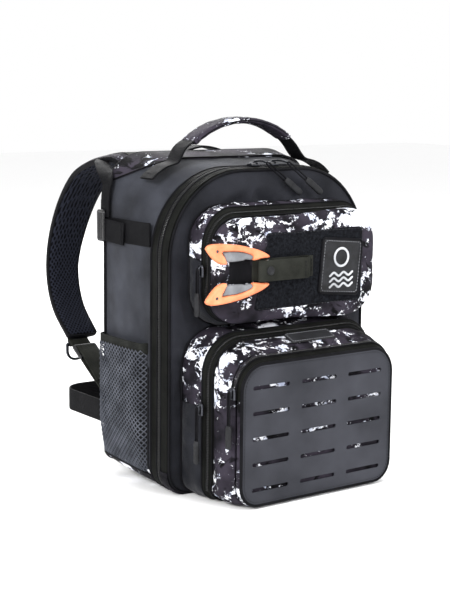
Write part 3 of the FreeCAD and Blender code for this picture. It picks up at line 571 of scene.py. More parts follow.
def skin(blocks, name):
    """One mesh from blocks of rings; a block is (rings, closed), and an open one gets end caps."""
    points, faces, base = [], [], 0
    for rings, closed in blocks:
        rows, count = rings.shape[:2]
        points.append(rings.reshape(-1, 3))
        for i in range(rows if closed else rows - 1):
            here, there = base + i * count, base + (i + 1) % rows * count
            for j in range(count):
                k = (j + 1) % count
                faces.append((here + j, here + k, there + k, there + j))
        used = rows * count
        if not closed:
            points.append(np.array([rings[0].mean(0), rings[-1].mean(0)]))
            start, end = base + used, base + used + 1
            tail = base + (rows - 1) * count
            for j in range(count):
                k = (j + 1) % count
                faces.append((start, base + k, base + j))
                faces.append((end, tail + j, tail + k))
            used += 2
        base += used
    placed = np.vstack(points)
    placed[:, 2] = np.maximum(placed[:, 2], FLOOR_GAP)
    return tidy(new_mesh(name, placed.tolist(), faces))


def tidy(mesh, sharp_angle=50):
    """Turns every face outwards and smooths all but the sharp edges."""
    work = bmesh.new()
    work.from_mesh(mesh)
    bmesh.ops.remove_doubles(work, verts=work.verts, dist=1e-6)
    bmesh.ops.dissolve_degenerate(work, edges=work.edges, dist=1e-7)
    bmesh.ops.recalc_face_normals(work, faces=work.faces)
    work.to_mesh(mesh)
    work.free()
    mesh.polygons.foreach_set("use_smooth", [True] * len(mesh.polygons))
    mesh.set_sharp_from_angle(angle=math.radians(sharp_angle))
    return mesh


def new_object(name, data):
    """An object in the scene that shows the data."""
    made = bpy.data.objects.new(name, data)
    bpy.context.scene.collection.objects.link(made)
    return made


def piece(name, blocks, body, finish, replaces=()):
    """A new visible piece that rides on a body. Blocks are rings, or pairs of rings and closed."""
    if isinstance(blocks, np.ndarray):
        blocks = [blocks]
    blocks = [b if isinstance(b, tuple) else (b, False) for b in blocks]
    return adopt(new_object(name, skin(blocks, name)), body, finish, replaces)


def adopt(made, body, finish, replaces=()):
    """Gives a new object its finish and lets it ride on a body."""
    made.data.materials.append(FINISH[finish])
    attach(made, body)
    if replaces:
        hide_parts(*replaces)
    return made


def strap(name, points, side, width, finish="strap", replaces=(), thickness=1.6 * MM, step=4 * MM,
          body="pack"):
    """Flat webbing along a route of points in the frame."""
    rings = sweep(smooth_path(points, step), side, webbing_section(width, thickness))
    return piece(name, rings, body, finish, replaces)


def stitches(path, away, side, length=3.0 * MM, gap=1.4 * MM, radius=0.32 * MM):
    """Blocks of short threads laid end to end along a path, raised by away."""
    travel = travelled(path)
    blocks = []
    for start in np.arange(0, travel[-1] - length, length + gap):
        spots = start + np.array([0, 0.12, 0.5, 0.88, 1]) * length
        line = sampled(path, spots, travel) + np.array(away) * np.array([0, 0.7, 1, 0.7, 0])[:, None]
        blocks.append(sweep(line, side, section(2 * radius, 2 * radius, 2, 6), taper=[0.3, 0.9, 1, 0.9, 0.3]))
    return blocks


def teeth(path, away, width=4.2 * MM, pitch=1.7 * MM, height=1.1 * MM):
    """Blocks of zip coil turns lying across a path whose outward directions are given."""
    travel = travelled(path)
    spots = np.arange(0, travel[-1], pitch)
    across = np.array([0, 1.0, 0])
    shape = [(-0.5, 0.1), (-0.3, 0.85), (0, 1.0), (0.3, 0.85), (0.5, 0.1)]
    blocks = []
    for spot, lift in zip(sampled(path, spots, travel), sampled(away, spots, travel)):
        lift = lift / np.linalg.norm(lift)
        bar = np.array([spot + across * width * u + lift * height * v for u, v in shape])
        blocks.append(sweep(bar, np.cross(across, lift), section(0.62 * pitch, 0.7 * MM, 2.5, 6)))
    return blocks


# ---------------------------------------------------------------- the shell and its back

LOW_CORNER = 26 * MM
HIGH_CORNER = 90 * MM
REAR_CORNER = 48 * MM
HEEL_LIFT = 12 * MM
HEEL_CORNER = 12 * MM


def shell_loops():
    """The outlines of the shell's front and rear edges."""
    ring, shell = span("side_piping"), span("main_shell")
    front = outline(ring[1][0] - 0.5 * MM, shell[0][2], ring[1][2] - MM, LOW_CORNER, HIGH_CORNER)
    rear = outline(shell[1][0] - MM, shell[0][2] + HEEL_LIFT, shell[1][2], HEEL_CORNER, REAR_CORNER)
    return front, rear


def side_reach(depths, heights):
    """How far out the shell's side stands at each depth and height."""
    low, high = span("main_shell")
    front, rear = (loop[FOOT:TOP_RIGHT] for loop in shell_loops())
    share = (np.clip(depths, low[1], high[1]) - low[1]) / (high[1] - low[1])
    at_front = np.interp(heights, front[:, 1], front[:, 0])
    at_rear = np.interp(heights, rear[:, 1], rear[:, 0])
    return at_front * (1 - share) + at_rear * share


def build_shell():
    """The shell's side and top, the back panel and the binding between them."""
    low, high = span("main_shell")
    front, rear = shell_loops()
    rings = wall(front, rear, low[1], high[1], 3 * MM, bulge=1.2 * MM, wrinkle=1.6 * MM, seed=3, columns=24)
    piece("main_shell_cloth", [(rings, True)], "pack", "body", ["main_shell"])
    back_low, back_high = span("back_panel")
    piece("back_panel_cloth", cushion(rear * 0.995 + (0, 0.8 * MM), back_high[1], back_low[1], 0),
          "pack", "dark", ["back_panel"])
    edge = standing(rear + outward(rear) * 0.6 * MM, high[1] + 1.2 * MM)
    piece("rear_edge_binding", hoop(edge, 1.9 * MM), "pack", "binding")


def build_base():
    """The underside, from the shell's front foot to its rear one."""
    low, high = span("base_panel")
    front, rear = shell_loops()
    foot = np.arange(LEFT_FOOT + LOW, LEFT_FOOT + LOW + 2 * FOOT + 1) % AROUND
    share = np.linspace(0, 1, 14)[:, None, None]
    upper = standing(front[foot], low[1])[None] * (1 - share) + standing(rear[foot], high[1])[None] * share
    lower = upper.copy()
    lower[:, :, 2] = np.maximum(FLOOR_GAP, upper[:, :, 2] - 2.6 * MM)
    rings = np.concatenate((upper, lower[:, ::-1]), axis=1)
    piece("base_cloth", rings, "pack", "dark", ["base_panel"])


def build_yoke():
    """The printed yoke over the rear of the top, with its seam rising forwards from the rear corner."""
    low, high = span("main_shell")
    skin_low, skin_high = span("yoke_panel")
    front, rear = shell_loops()
    picked = np.arange(RIGHT_HEAD - 3, LEFT_HEAD + 4)
    heights = rear[picked, 1]
    rise = np.clip(1 - (rear[picked, 1].max() - heights) / (29.5 * MM), 0, 1)
    seam = skin_high[1] - (skin_high[1] - skin_low[1]) * rise - 1.5 * MM
    share = np.linspace(0, 1, 12)
    depth = seam[:, None] * (1 - share) + (skin_high[1] - 1 * MM) * share
    along = ((depth - low[1]) / (high[1] - low[1]))[:, :, None]
    loops = front[picked][:, None] * (1 - along) + rear[picked][:, None] * along
    out = outward((front + rear) / 2)[picked][:, None]
    lift = 2.0 * MM
    outer = loops + out * (lift + 1.2 * MM * np.sin(math.pi * np.clip(along, 0, 1)))
    inner = outer - out * 1.4 * MM
    rings = np.concatenate((np.dstack((outer[:, :, 0], depth, outer[:, :, 1])),
                            np.dstack((inner[:, :, 0], depth, inner[:, :, 1]))[:, ::-1]), axis=1)
    piece("yoke_cloth", rings, "pack", "camo_bare", ["yoke_panel"])
    line = np.column_stack((outer[:, 0, 0], depth[:, 0], outer[:, 0, 1]))
    piece("yoke_seam", tube(smooth_path(line), 0.9 * MM), "pack", "binding")


def ring_band(node, body):
    """A CAD zip tape that runs round the shell's outline, as cloth."""
    low, high = span(node)
    loop = node_outline(node, LOW_CORNER, HIGH_CORNER)
    rings = wall(loop, loop, low[1], high[1], 1.6 * MM, bulge=0.6 * MM, wrinkle=0.4 * MM, seed=low[1] * 90,
                 columns=7)
    piece(f"{node}_cloth", [(rings, True)], body, "tape", [node])


def cord_round(node, body):
    """A CAD piping round the shell's outline, as a closed tube."""
    low, high = span(node)
    radius = (high[1] - low[1]) / 2
    loop = node_outline(node, LOW_CORNER, HIGH_CORNER, radius * 0.8)
    path = standing(loop, (low[1] + high[1]) / 2)
    piece(f"{node}_cord", hoop(path, radius), body, "binding", [node])


def build_zip_band():
    """The main zip: both tapes and pipings, the coil and the lips over it."""
    cord_round("side_piping", "pack")
    ring_band("shell_zip_tape", "pack")
    ring_band("door_zip_tape", "door")
    cord_round("door_piping", "door")
    tape_low = span("shell_zip_tape")[0]
    loop = node_outline("shell_zip_tape", LOW_CORNER, HIGH_CORNER)
    arch = np.arange(RIGHT_FOOT - 3, LEFT_FOOT + 4)
    path = standing(loop, tape_low[1])[arch]
    out = standing(outward(loop), 0)[arch]
    piece("main_zip_coil", teeth(path - out * 0.4 * MM, out), "pack", "coil")
    flap = loop + outward(loop) * 0.5 * MM
    for name, body, shift in (("shell_zip_lip", "pack", 2.9 * MM), ("door_zip_lip", "door", -3.9 * MM)):
        lip = standing(flap, tape_low[1] + shift)
        piece(name, hoop(lip, 0.75 * MM), body, "binding")


def build_door():
    """The crinkled front panel and the printed patches on its lower corners."""
    low, high = span("door_panel")
    loop = node_outline("door_piping", LOW_CORNER, HIGH_CORNER, 2.4 * MM)
    rings = cushion(loop, high[1], low[1], 0.5 * MM, edge=5 * MM, wrinkle=4.6 * MM, seed=5, size=40 * MM,
                    rings=44, sharp=True)
    piece("door_cloth", rings, "door", "door", ["door_panel"])
    loop = node_outline("door_zip_tape", LOW_CORNER, HIGH_CORNER)
    strip_low, strip_high = span("door_corners")
    blocks = []
    for first, last in ((FOOT - 1, RIGHT_FOOT), (LEFT_FOOT, LEFT_FOOT + LOW + 1)):
        outer = loop + outward(loop) * 1.1 * MM
        blocks.append(wall(outer, outer, strip_low[1] - 1.5 * MM, strip_high[1], 1.0 * MM, bulge=0.5 * MM,
                           first=first, last=last))
    piece("door_corner_patches", blocks, "door", "camo_bare", ["door_corners"])


build_shell()
build_base()
build_yoke()
build_zip_band()
build_door()


# ---------------------------------------------------------------- pockets

FINE_THREAD = 0.25 * MM
SEWN_FLAT = (0, 0.3, 1)      # the side direction of stitches on a face towards -Y
POCKET_CORNER = 36 * MM
LOWER_HIGH = 40 * MM
LOWER_LOW = 20 * MM
FLAP_HIGH = 28 * MM
FLAP_LOW = 22 * MM
GAP = 0.5 * MM


def shrunk(loop, head, side, left=None):
    """An outline pulled in, by more at its head than at its sides, and not at its foot."""
    away = outward(loop)
    reach = side * np.ones(len(loop))
    reach[away[:, 0] < -0.3] = side if left is None else left
    reach = np.convolve(np.concatenate((reach[-4:], reach, reach[:4])), np.ones(9) / 9, "valid")
    amount = reach * np.clip(1 + away[:, 1] * 2, 0, 1) + (head - reach) * np.clip(away[:, 1], 0, 1)
    return loop - away * amount[:, None]


def tapes(name, rear_loop, front_loop, y_rear, y_front, rear_body, front_body, first=0, last=None):
    """Zip tape on both sides of a zip line, with the coil between, from one outline point to another."""
    zip_loop, y_zip = (rear_loop + front_loop) / 2, (y_rear + y_front) / 2
    along = np.array((y_front - y_rear, np.abs(front_loop - rear_loop).max()))
    tilt = along / np.linalg.norm(along)
    for part, body, outer, inner, start, end in (
            ("rear", rear_body, zip_loop, rear_loop, y_zip + GAP, y_rear),
            ("front", front_body, front_loop, zip_loop, y_front, y_zip - GAP)):
        outer, inner = (loop + outward(loop) * 0.7 * MM for loop in (outer, inner))
        rings = wall(outer, inner, start, end, 1.3 * MM, bulge=0.7 * MM, columns=8, first=first, last=last)
        piece(f"{name}_{part}_tape", [(rings, last is None)], body, "tape")
    picked = np.arange(first, last + 1) % AROUND if last is not None else np.arange(AROUND)
    arch = picked if last is not None else np.arange(RIGHT_FOOT - 2, LEFT_FOOT + 3)
    out = standing(outward(zip_loop), 0) * abs(tilt[0]) + np.array((0, -1, 0)) * tilt[1]
    line = standing(zip_loop, y_zip)[arch] + out[arch] * 0.9 * MM
    piece(f"{name}_coil", teeth(line, out[arch]), rear_body, "coil")
    for part, body, share in (("rear", rear_body, -0.42), ("front", front_body, 0.42)):
        edge = zip_loop + (front_loop - rear_loop) * share + outward(zip_loop) * 1.3 * MM
        edge = standing(edge, y_zip + (y_front - y_rear) * share)[picked]
        piece(f"{name}_{part}_lip", [(tube(edge, 0.8 * MM, (0, 1, 0), last is None), last is None)], body,
              "binding")


def seam_across(name, front, rear, y_front, y_rear, at, body):
    """A thin raised seam that crosses a gusset at one outline point."""
    share = np.linspace(0, 1, 8)[:, None]
    out = outward(front)[at] * 1.6 * MM
    line = front[at] * (1 - share) + rear[at] * share + out
    depth = y_front + (y_rear - y_front) * share
    path = np.column_stack((line[:, 0], depth, line[:, 1]))
    piece(name, tube(path, 0.6 * MM), body, "binding")


def two_part_gusset(name, node, front, rear, y_front, y_rear, split, body, wrinkle, seed):
    """A gusset printed over its top and one shoulder, and plain down its sides and foot."""
    options = dict(thickness=1.6 * MM, bulge=2.6 * MM, wrinkle=wrinkle, seed=seed, size=26 * MM, columns=14)
    printed = wall(front, rear, y_front, y_rear, first=RIGHT_HEAD, last=split, **options)
    piece(f"{name}_printed", printed, body, "camo", [node])
    plain = wall(front, rear, y_front, y_rear, first=split, last=RIGHT_HEAD + AROUND, **options)
    piece(f"{name}_plain", plain, body, "door", [node])
    seam_across(f"{name}_seam", front, rear, y_front, y_rear, split, body)
    foot = standing(rear + outward(rear) * 0.8 * MM, y_rear - 0.6 * MM)
    piece(f"{name}_piping", hoop(foot, 1.2 * MM), body, "binding")


def build_upper_pocket():
    """The upper pocket's gusset, zip and padded cover."""
    tray_low, tray_high = span("upper_pocket_tray")
    low = span("upper_pocket_cover")[0]
    front = node_outline("upper_pocket_cover", POCKET_CORNER, POCKET_CORNER)
    front = shrunk(front, 0, 1 * MM) + np.clip(outward(front)[:, 1:], 0, 1) * (0, 6 * MM)
    rim = shrunk(node_outline("upper_pocket_cover", POCKET_CORNER, POCKET_CORNER), 5 * MM, 3 * MM, 5 * MM)
    y_tape, y_rim = tray_low[1] + 3 * MM, low[1] + 7 * MM
    rear = outline(tray_high[0] - 1.5 * MM, tray_low[2], tray_high[2], POCKET_CORNER, POCKET_CORNER)
    two_part_gusset("upper_gusset", "upper_pocket_tray", front, rear, y_tape, tray_high[1], LEFT_HEAD + 9,
                    "door", 2.2 * MM, 7)
    tapes("upper_zip", front, rim, y_tape, y_rim, "door", "upper_cover")
    right = np.clip(rim[:, :1] / (60 * MM), 0, 1)
    face = rim + outward(rim) * (0.8 + 4 * right) * MM
    rings = cushion(face, y_rim + 1 * MM, low[1], 1.6 * MM, edge=6 * MM, wrinkle=1.6 * MM, seed=11,
                    size=38 * MM, rings=30, hollow=True, shoulder=0.6)
    piece("upper_cover_cloth", rings, "upper_cover", "camo", ["upper_pocket_cover"])


def build_loop_panel():
    """The panel of looped pile on the upper cover, stitched round its edge."""
    low, high = span("loop_panel")
    loop = node_outline("loop_panel", 5 * MM, 5 * MM)
    lean = (loop[:, 1] - low[2]) / (high[2] - low[2])
    loop[:, 1] -= 4 * MM * (1 - lean)
    loop[:, 0] += np.where(loop[:, 0] < 0, (lean * 13 - 3) * MM * np.clip(-loop[:, 0] / (40 * MM), 0, 1), 0)
    rings = cushion(loop, high[1] + MM, low[1], 0.6 * MM, edge=4 * MM, wrinkle=0.5 * MM, seed=4,
                    size=9 * MM, rings=36)
    piece("loop_panel_pile", rings, "upper_cover", "pile", ["loop_panel"])
    edge = standing(loop - outward(loop) * 1.6 * MM, low[1] - 0.1 * MM)
    piece("loop_panel_stitching", stitches(looped(edge), (0, -0.5 * MM, 0), SEWN_FLAT),
          "upper_cover", "black_thread")


def turned(loop, degrees, centre):
    turn = math.radians(degrees)
    spin = np.array(((math.cos(turn), -math.sin(turn)), (math.sin(turn), math.cos(turn))))
    return (loop - centre) @ spin.T + centre


def build_patch():
    """A dark badge with a stitched edge and a plain design of waves under a ring."""
    low, high = span("front_patch")
    centre = np.array(((low[0] + high[0]) / 2, (low[2] + high[2]) / 2))
    tilt, face = -5.5, low[1] - 0.6 * MM
    loop = turned(node_outline("front_patch", 4 * MM, 4 * MM, 1.2 * MM), tilt, centre)
    rings = cushion(loop, high[1] + 0.6 * MM, low[1], 0.4 * MM, edge=1.6 * MM, rings=14)
    piece("badge_base", rings, "upper_cover", "rubber", ["front_patch"])
    border = standing(centre + (loop - centre) * 0.985, low[1] + 0.4 * MM)
    piece("badge_border", hoop(border, 1.3 * MM), "upper_cover", "binding")
    inner = standing(centre + (loop - centre) * 0.9, face)
    piece("badge_stitching", stitches(looped(inner), (0, -0.35 * MM, 0), SEWN_FLAT, 2.2 * MM, 1.2 * MM),
          "upper_cover", "thread")
    blocks = []
    ring_radius, wave_half = 9.5 * MM, 17 * MM
    circle = arc_path((centre[0], centre[1] + 10 * MM), ring_radius, 0, 360, face - 0.3 * MM, 1.5 * MM)[:-1]
    blocks.append((sweep(circle, (0, 1, 0), section(1.2 * MM, 2.6 * MM, 3, 8), True), True))
    ends = np.concatenate((rounded(0.06, 20), rounded(0.06, 20)[::-1]))
    x = np.linspace(-wave_half, wave_half, 40)
    for level in (-8, -14, -20):
        z = centre[1] + level * MM + 1.8 * MM * np.sin(x / wave_half * 2.5 * math.pi)
        line = np.column_stack((centre[0] + x, np.full(40, face - 0.3 * MM), z))
        blocks.append(sweep(line, (0, 1, 0), section(1.2 * MM, 2.4 * MM, 3, 8), taper=ends))
    piece("badge_design", blocks, "upper_cover", "emblem")


def build_holster():
    """The webbing loop that holds the pliers, sewn over the loop panel, and the elastic behind the grips."""
    low, high = span("holster_band")
    middle, width = (low[2] + high[2]) / 2, high[2] - low[2]
    flat, roof = span("loop_panel")[0][1] - 1.0 * MM, low[1] - 1.2 * MM
    cover = span("upper_pocket_cover")[0][1]
    root, tip = high[0] - 7 * MM, low[0] - 14 * MM

    def level(points):
        return [(x, y, middle) for x, y in points]

    strap("holster_webbing",
          level([(high[0] + 4 * MM, flat), (high[0], flat), (root + 3 * MM, flat - 1.5 * MM),
                 (root, roof + 1.5 * MM), (root - 7 * MM, roof), (tip + 12 * MM, roof),
                 (tip + 1 * MM, roof + 1.2 * MM), (tip - 1 * MM, roof + 3.4 * MM)]),
          (0, 0, 1), width, "webbing", ["holster_band"], 1.5 * MM, 2.5 * MM, "upper_cover")
    under = level([(high[0] - 2 * MM, flat + 0.4 * MM), (low[0], flat + 0.4 * MM),
                   (low[0] - 10 * MM, flat + 1.2 * MM), (low[0] - 18 * MM, cover - 1.2 * MM)])
    elastic = level([(low[0] - 18 * MM, cover - 0.8 * MM), (low[0] - 34 * MM, cover - 0.6 * MM),
                     (low[0] - 45 * MM, cover - 0.2 * MM), (low[0] - 50 * MM, cover + 3 * MM)])
    for part, points, profile, finish in (
            ("underlay", under, webbing_section(width + 1 * MM, 1.2 * MM, 20), "webbing"),
            ("elastic", elastic, section(width + 3 * MM, 1.8 * MM, 6, 20), "binding")):
        rings = sweep(smooth_path(points, 3 * MM), (0, 0, 1), profile)
        piece(f"holster_{part}", rings, "upper_cover", finish)
    for part, x, y in (("left", root - 6 * MM, roof), ("right", high[0] + 1.5 * MM, flat)):
        down = [(x, y - 0.9 * MM, middle + s * width * 0.44) for s in (-1, 0, 1)]
        sewn = stitches(smooth_path(down), (0, -0.4 * MM, 0), (1, 0, 0), 2.6 * MM, 1 * MM)
        piece(f"holster_stitching_{part}", sewn, "upper_cover", "black_thread")
    stud = ((4.6, 0.2), (4.6, 1.4), (4.1, 1.9), (3.2, 1.9), (2.6, 1.5), (0.8, 1.4))
    steps = [(radius * MM, roof - lift * MM) for radius, lift in stud]
    piece("holster_snap", disc((tip + 11 * MM, middle), steps), "upper_cover", "rubber")


def build_lower_pocket():
    """The lower pocket: two gussets and two zips, with the slotted flap on its face."""
    rear_low, rear_high = span("lower_pocket_rear")
    low, high = span("lower_pocket_front")
    flap_low, flap_high = span("camo_backing")
    back = outline(rear_high[0], rear_low[2], rear_high[2], LOWER_LOW, LOWER_HIGH)
    middle = outline(rear_high[0] - 3 * MM, rear_low[2], rear_high[2] - 2 * MM, LOWER_LOW, LOWER_HIGH)
    y_tape, y_rim = rear_low[1] + 5 * MM, high[1] - 5 * MM
    two_part_gusset("lower_gusset", "lower_pocket_rear", middle, back, y_tape, rear_high[1], LEFT_HEAD + 10,
                    "door", 2.4 * MM, 8)
    start = shrunk(outline(high[0], low[2], high[2], LOWER_LOW, LOWER_HIGH), 5 * MM, 4 * MM)
    end = outline(flap_high[0] + 2 * MM, low[2], flap_high[2] + 8.5 * MM, FLAP_LOW, 32 * MM)
    tapes("lower_zip", middle, start, y_tape, y_rim, "door", "front_compartment")
    rings = wall(end, start, low[1], y_rim, 1.6 * MM, bulge=3.0 * MM, wrinkle=2.6 * MM, seed=9, size=28 * MM,
                 columns=16)
    piece("compartment_gusset", [(rings, True)], "front_compartment", "camo",
          ["lower_pocket_front"])
    panel = outline(flap_high[0], flap_low[2], flap_high[2] + 2 * MM, FLAP_LOW, FLAP_HIGH)
    first, last = RIGHT_FOOT + 22, LEFT_HEAD + 3
    y_lip, y_flap = low[1] + 4 * MM, flap_high[1] - 1.4 * MM
    fold = (end + panel) / 2
    tapes("flap_zip", end, fold, y_lip, y_flap, "front_compartment", "front_flap", first, last)
    lip = panel + outward(panel) * 0.4 * MM
    for part, slot, finish, start_at, end_at in (
            ("taped", "zip_tape", "tape", first, last),
            ("printed", "patterned_cloth", "camo", last, first + AROUND)):
        border = wall(lip, fold, flap_low[1] - 1 * MM, y_flap, 1.2 * MM, bulge=0.8 * MM, columns=6,
                      first=start_at, last=end_at)
        piece(f"flap_border_{part}", border, "front_flap", finish)
    rings = cushion(panel, flap_high[1], flap_low[1] + 0.8 * MM, 0.6 * MM, edge=3 * MM, rings=16)
    piece("camo_backing_cloth", rings, "front_flap", "camo_low", ["camo_backing"])
    build_molle(panel)
    build_label(low, high, end)


SLOT_LENGTH, SLOT_HEIGHT, SLOT_ROWS = 47 * MM, 4.2 * MM, 5
SLOT_COLUMN, SLOT_ROW = 62.7 * MM, 26.4 * MM
SLOT_LOWEST = 17.4 * MM


def build_molle(panel):
    """The laser-cut panel: a crowned sheet with rows of slots and a bound edge."""
    low, high = span("molle_panel")
    rings = cushion(panel, high[1] - 1.2 * MM, low[1], 0.7 * MM, edge=4 * MM, wrinkle=0.5 * MM, seed=12,
                    size=60 * MM, rings=26)
    made = piece("molle_panel_cloth", rings, "front_flap", "molle", ["molle_panel"])
    blocks = []
    half, round_end = SLOT_HEIGHT / 2, SLOT_HEIGHT * 0.49
    for row in range(SLOT_ROWS):
        for column in (-1, 0, 1):
            x, z = column * SLOT_COLUMN - 1 * MM, low[2] + SLOT_LOWEST + row * SLOT_ROW
            loop = outline(SLOT_LENGTH / 2, z - half, z + half, round_end, round_end, x)
            through = [standing(loop, high[1] + 4 * MM), standing(loop, low[1] - 6 * MM)]
            blocks.append((np.array(through), False))
    cutter = new_object("slot_cutter", skin(blocks, "slot_cutter"))
    cut = made.modifiers.new("slots", "BOOLEAN")
    cut.operation = "DIFFERENCE"
    cut.solver = "EXACT"
    cut.object = cutter
    settle(made)
    bpy.data.objects.remove(cutter)
    edge = standing(panel - outward(panel) * 0.6 * MM, low[1] + 1.2 * MM)
    piece("molle_panel_binding", hoop(edge, 1.7 * MM, 12), "front_flap", "binding")
    inner = standing(panel - outward(panel) * 4.0 * MM, low[1] + 0.1 * MM)
    sewn = stitches(looped(inner), (0, -0.35 * MM, 0), SEWN_FLAT, 2.4 * MM, 1.2 * MM, FINE_THREAD)
    piece("molle_panel_stitching", sewn, "front_flap", "black_thread")


def settle(made):
    """Applies every modifier of an object to its mesh."""
    bpy.context.view_layer.update()
    done = bpy.data.meshes.new_from_object(made.evaluated_get(bpy.context.evaluated_depsgraph_get()))
    made.modifiers.clear()
    made.data = done
    tidy(done)


def build_label(low, high, end):
    """A small plain label on top of the front compartment, between its zips."""
    half_x, half_y = 30 * MM, 7.5 * MM
    middle = np.array((6 * MM, (low[1] + high[1]) / 2 - 3 * MM))
    fall = (high[2] - end[:, 1].max()) / (high[1] - low[1])
    loop = outline(half_x, -half_y, half_y, 2 * MM, 2 * MM, middle[0])

    def lying(share, lift):
        flat = (middle[0], 0) + (loop - (middle[0], 0)) * share
        depth = middle[1] + flat[:, 1]
        top = high[2] - (high[1] - depth) * fall + 3.0 * MM
        return np.column_stack((flat[:, 0], depth, top + lift))

    steps = ((0.01, 0), (0.5, 0), (1.0, 0), (1.0, 0.8), (0.985, 1.3), (0.95, 1.5), (0.6, 1.5), (0.01, 1.5))
    rings = np.array([lying(share, lift * MM) for share, lift in steps])
    piece("top_label", rings, "front_compartment", "rubber")
    edge = lying(0.93, 1.5 * MM)
    sewn = stitches(looped(edge), (0, 0, 0.3 * MM), (0, 0, 1), 2 * MM, 1.2 * MM, FINE_THREAD)
    piece("top_label_stitching", sewn, "front_compartment", "thread")


build_upper_pocket()
build_loop_panel()
build_patch()
build_holster()
build_lower_pocket()


# ---------------------------------------------------------------- pliers

# Each grip and its inlay as (x, height above the jaws' middle line), in millimetres.
GRIP_BAR = ((-121.9, 26), (-120.3, 29), (-115, 30.6), (-104, 30.6), (-91, 29.4), (-79, 27.6), (-66.8, 24.6),
            (-56, 21.6), (-46.5, 17.4), (-42.8, 14.6), (-44.5, 12.9), (-50, 12.8), (-57, 12), (-63.5, 11.8),
            (-64.5, 16.3), (-73, 19.6), (-83, 21.6), (-93, 22.3), (-102.5, 22.2), (-99.5, 16.6), (-96.5, 11),
            (-98.2, 9.4), (-104.5, 10.2), (-110, 13.2), (-116, 18.6))
GRIP_INLAY = ((-102, 21.8), (-92.8, 22), (-82.8, 21.3), (-71.8, 19.2), (-64.4, 16.2), (-65.8, 12.6),
              (-74, 13), (-77.6, 12), (-96.2, 12.2), (-99.4, 17))


def plate(name, points, y_front, y_back, edge):
    """A flat closed mesh with rolled edges, from the (x, z) points round it; the shape may bend inwards."""
    ring = np.array(points, float)
    path = smooth_path(looped(standing(ring, 0)), 1.0 * MM)[:-1]
    rim = path[:, (0, 2)]
    count = len(rim)
    limits = [np.arange(rim[:, axis].min(), rim[:, axis].max(), 1.1 * MM) for axis in (0, 1)]
    grid = np.array(np.meshgrid(*limits)).reshape(2, -1).T
    gap = np.linalg.norm(grid[:, None] - rim[None], axis=2).min(axis=1)
    spots = [Vector(point) for point in np.vstack((rim, grid[gap > 0.6 * MM]))]
    sides = [(i, (i + 1) % count) for i in range(count)]
    flat, _, faces, _, _, _ = delaunay_2d_cdt(spots, sides, [], 1, 1e-7)
    flat = np.array([tuple(point) for point in flat])
    depth = np.linalg.norm(flat[:, None] - rim[None], axis=2).min(axis=1)
    roll = edge * (1 - np.sqrt(1 - (1 - np.clip(depth / edge, 0, 1)) ** 2))
    total = len(flat)
    points = np.vstack((standing(flat, y_front) + np.outer(roll, (0, 1, 0)),
                        standing(flat, y_back) - np.outer(roll, (0, 1, 0))))
    used = {}
    for face in faces:
        for i, start in enumerate(face):
            pair = frozenset((start, face[(i + 1) % 3]))
            used[pair] = (start, face[(i + 1) % 3]) if pair not in used else None
    walls = [(b, a, a + total, b + total) for a, b in filter(None, used.values())]
    fronts = [tuple(face) for face in faces]
    backs = [tuple(v + total for v in face)[::-1] for face in faces]
    return tidy(new_mesh(name, points.tolist(), fronts + backs + walls))


def build_pliers():
    """The pliers' moulded grips with their inlays and screws."""
    band_low, band_high = span("holster_band")
    middle = (band_low[2] + band_high[2]) / 2
    for part, body, flip in (("upper", "pliers", 1), ("lower", "plier_half", -1)):
        low, high = span(f"plier_grip_{part}")
        bar = [(x * MM, middle + flip * z * MM) for x, z in GRIP_BAR]
        shell = new_object(f"grip_shell_{part}", plate("grip", bar, low[1], high[1], 2.2 * MM))
        adopt(shell, body, "orange", [f"plier_grip_{part}"])
        inlay = [(x * MM, middle + flip * z * MM) for x, z in GRIP_INLAY]
        mesh = plate("inlay", inlay, low[1] + 1.0 * MM, high[1] - 1.0 * MM, 1.2 * MM)
        adopt(new_object(f"grip_inlay_{part}", mesh), body, "grey")
        screw = (-110 * MM, middle + flip * 23.6 * MM)
        steps = [(radius * MM, low[1] - lift * MM) for radius, lift in
                 ((1.5, -0.5), (1.5, 0.2), (1.1, 0.4), (0.5, 0.1))]
        piece(f"grip_screw_{part}", disc(screw, steps), body, "gunmetal")


# ---------------------------------------------------------------- side pockets and straps

def pocket_path(low, high, sign, columns):
    """The U that a side pocket follows round the pack's side, seen from above."""
    inner, outer = sorted((abs(low[0]), abs(high[0])))
    reach = outer - 0.3 * MM
    plan = [(inner, low[1], 0), (outer - 3.2 * MM, low[1] + 1.4 * MM, 0), (reach, low[1] + 7 * MM, 0),
            (reach + 1.2 * MM, (low[1] + high[1]) / 2, 0), (reach, high[1] - 7 * MM, 0),
            (outer - 3.2 * MM, high[1] - 1.4 * MM, 0), (inner, high[1], 0)]
    path = smooth_path(mirrored(plan, sign), 1.5 * MM)
    travel = travelled(path)
    return sampled(path, np.linspace(0, travel[-1], columns), travel), travel[-1]


NET_PITCH = 3.0 * MM
NET_THREAD = 1.42 * MM
NET_FOOT, NET_FOOT_RISE = 18 * MM, 6 * MM


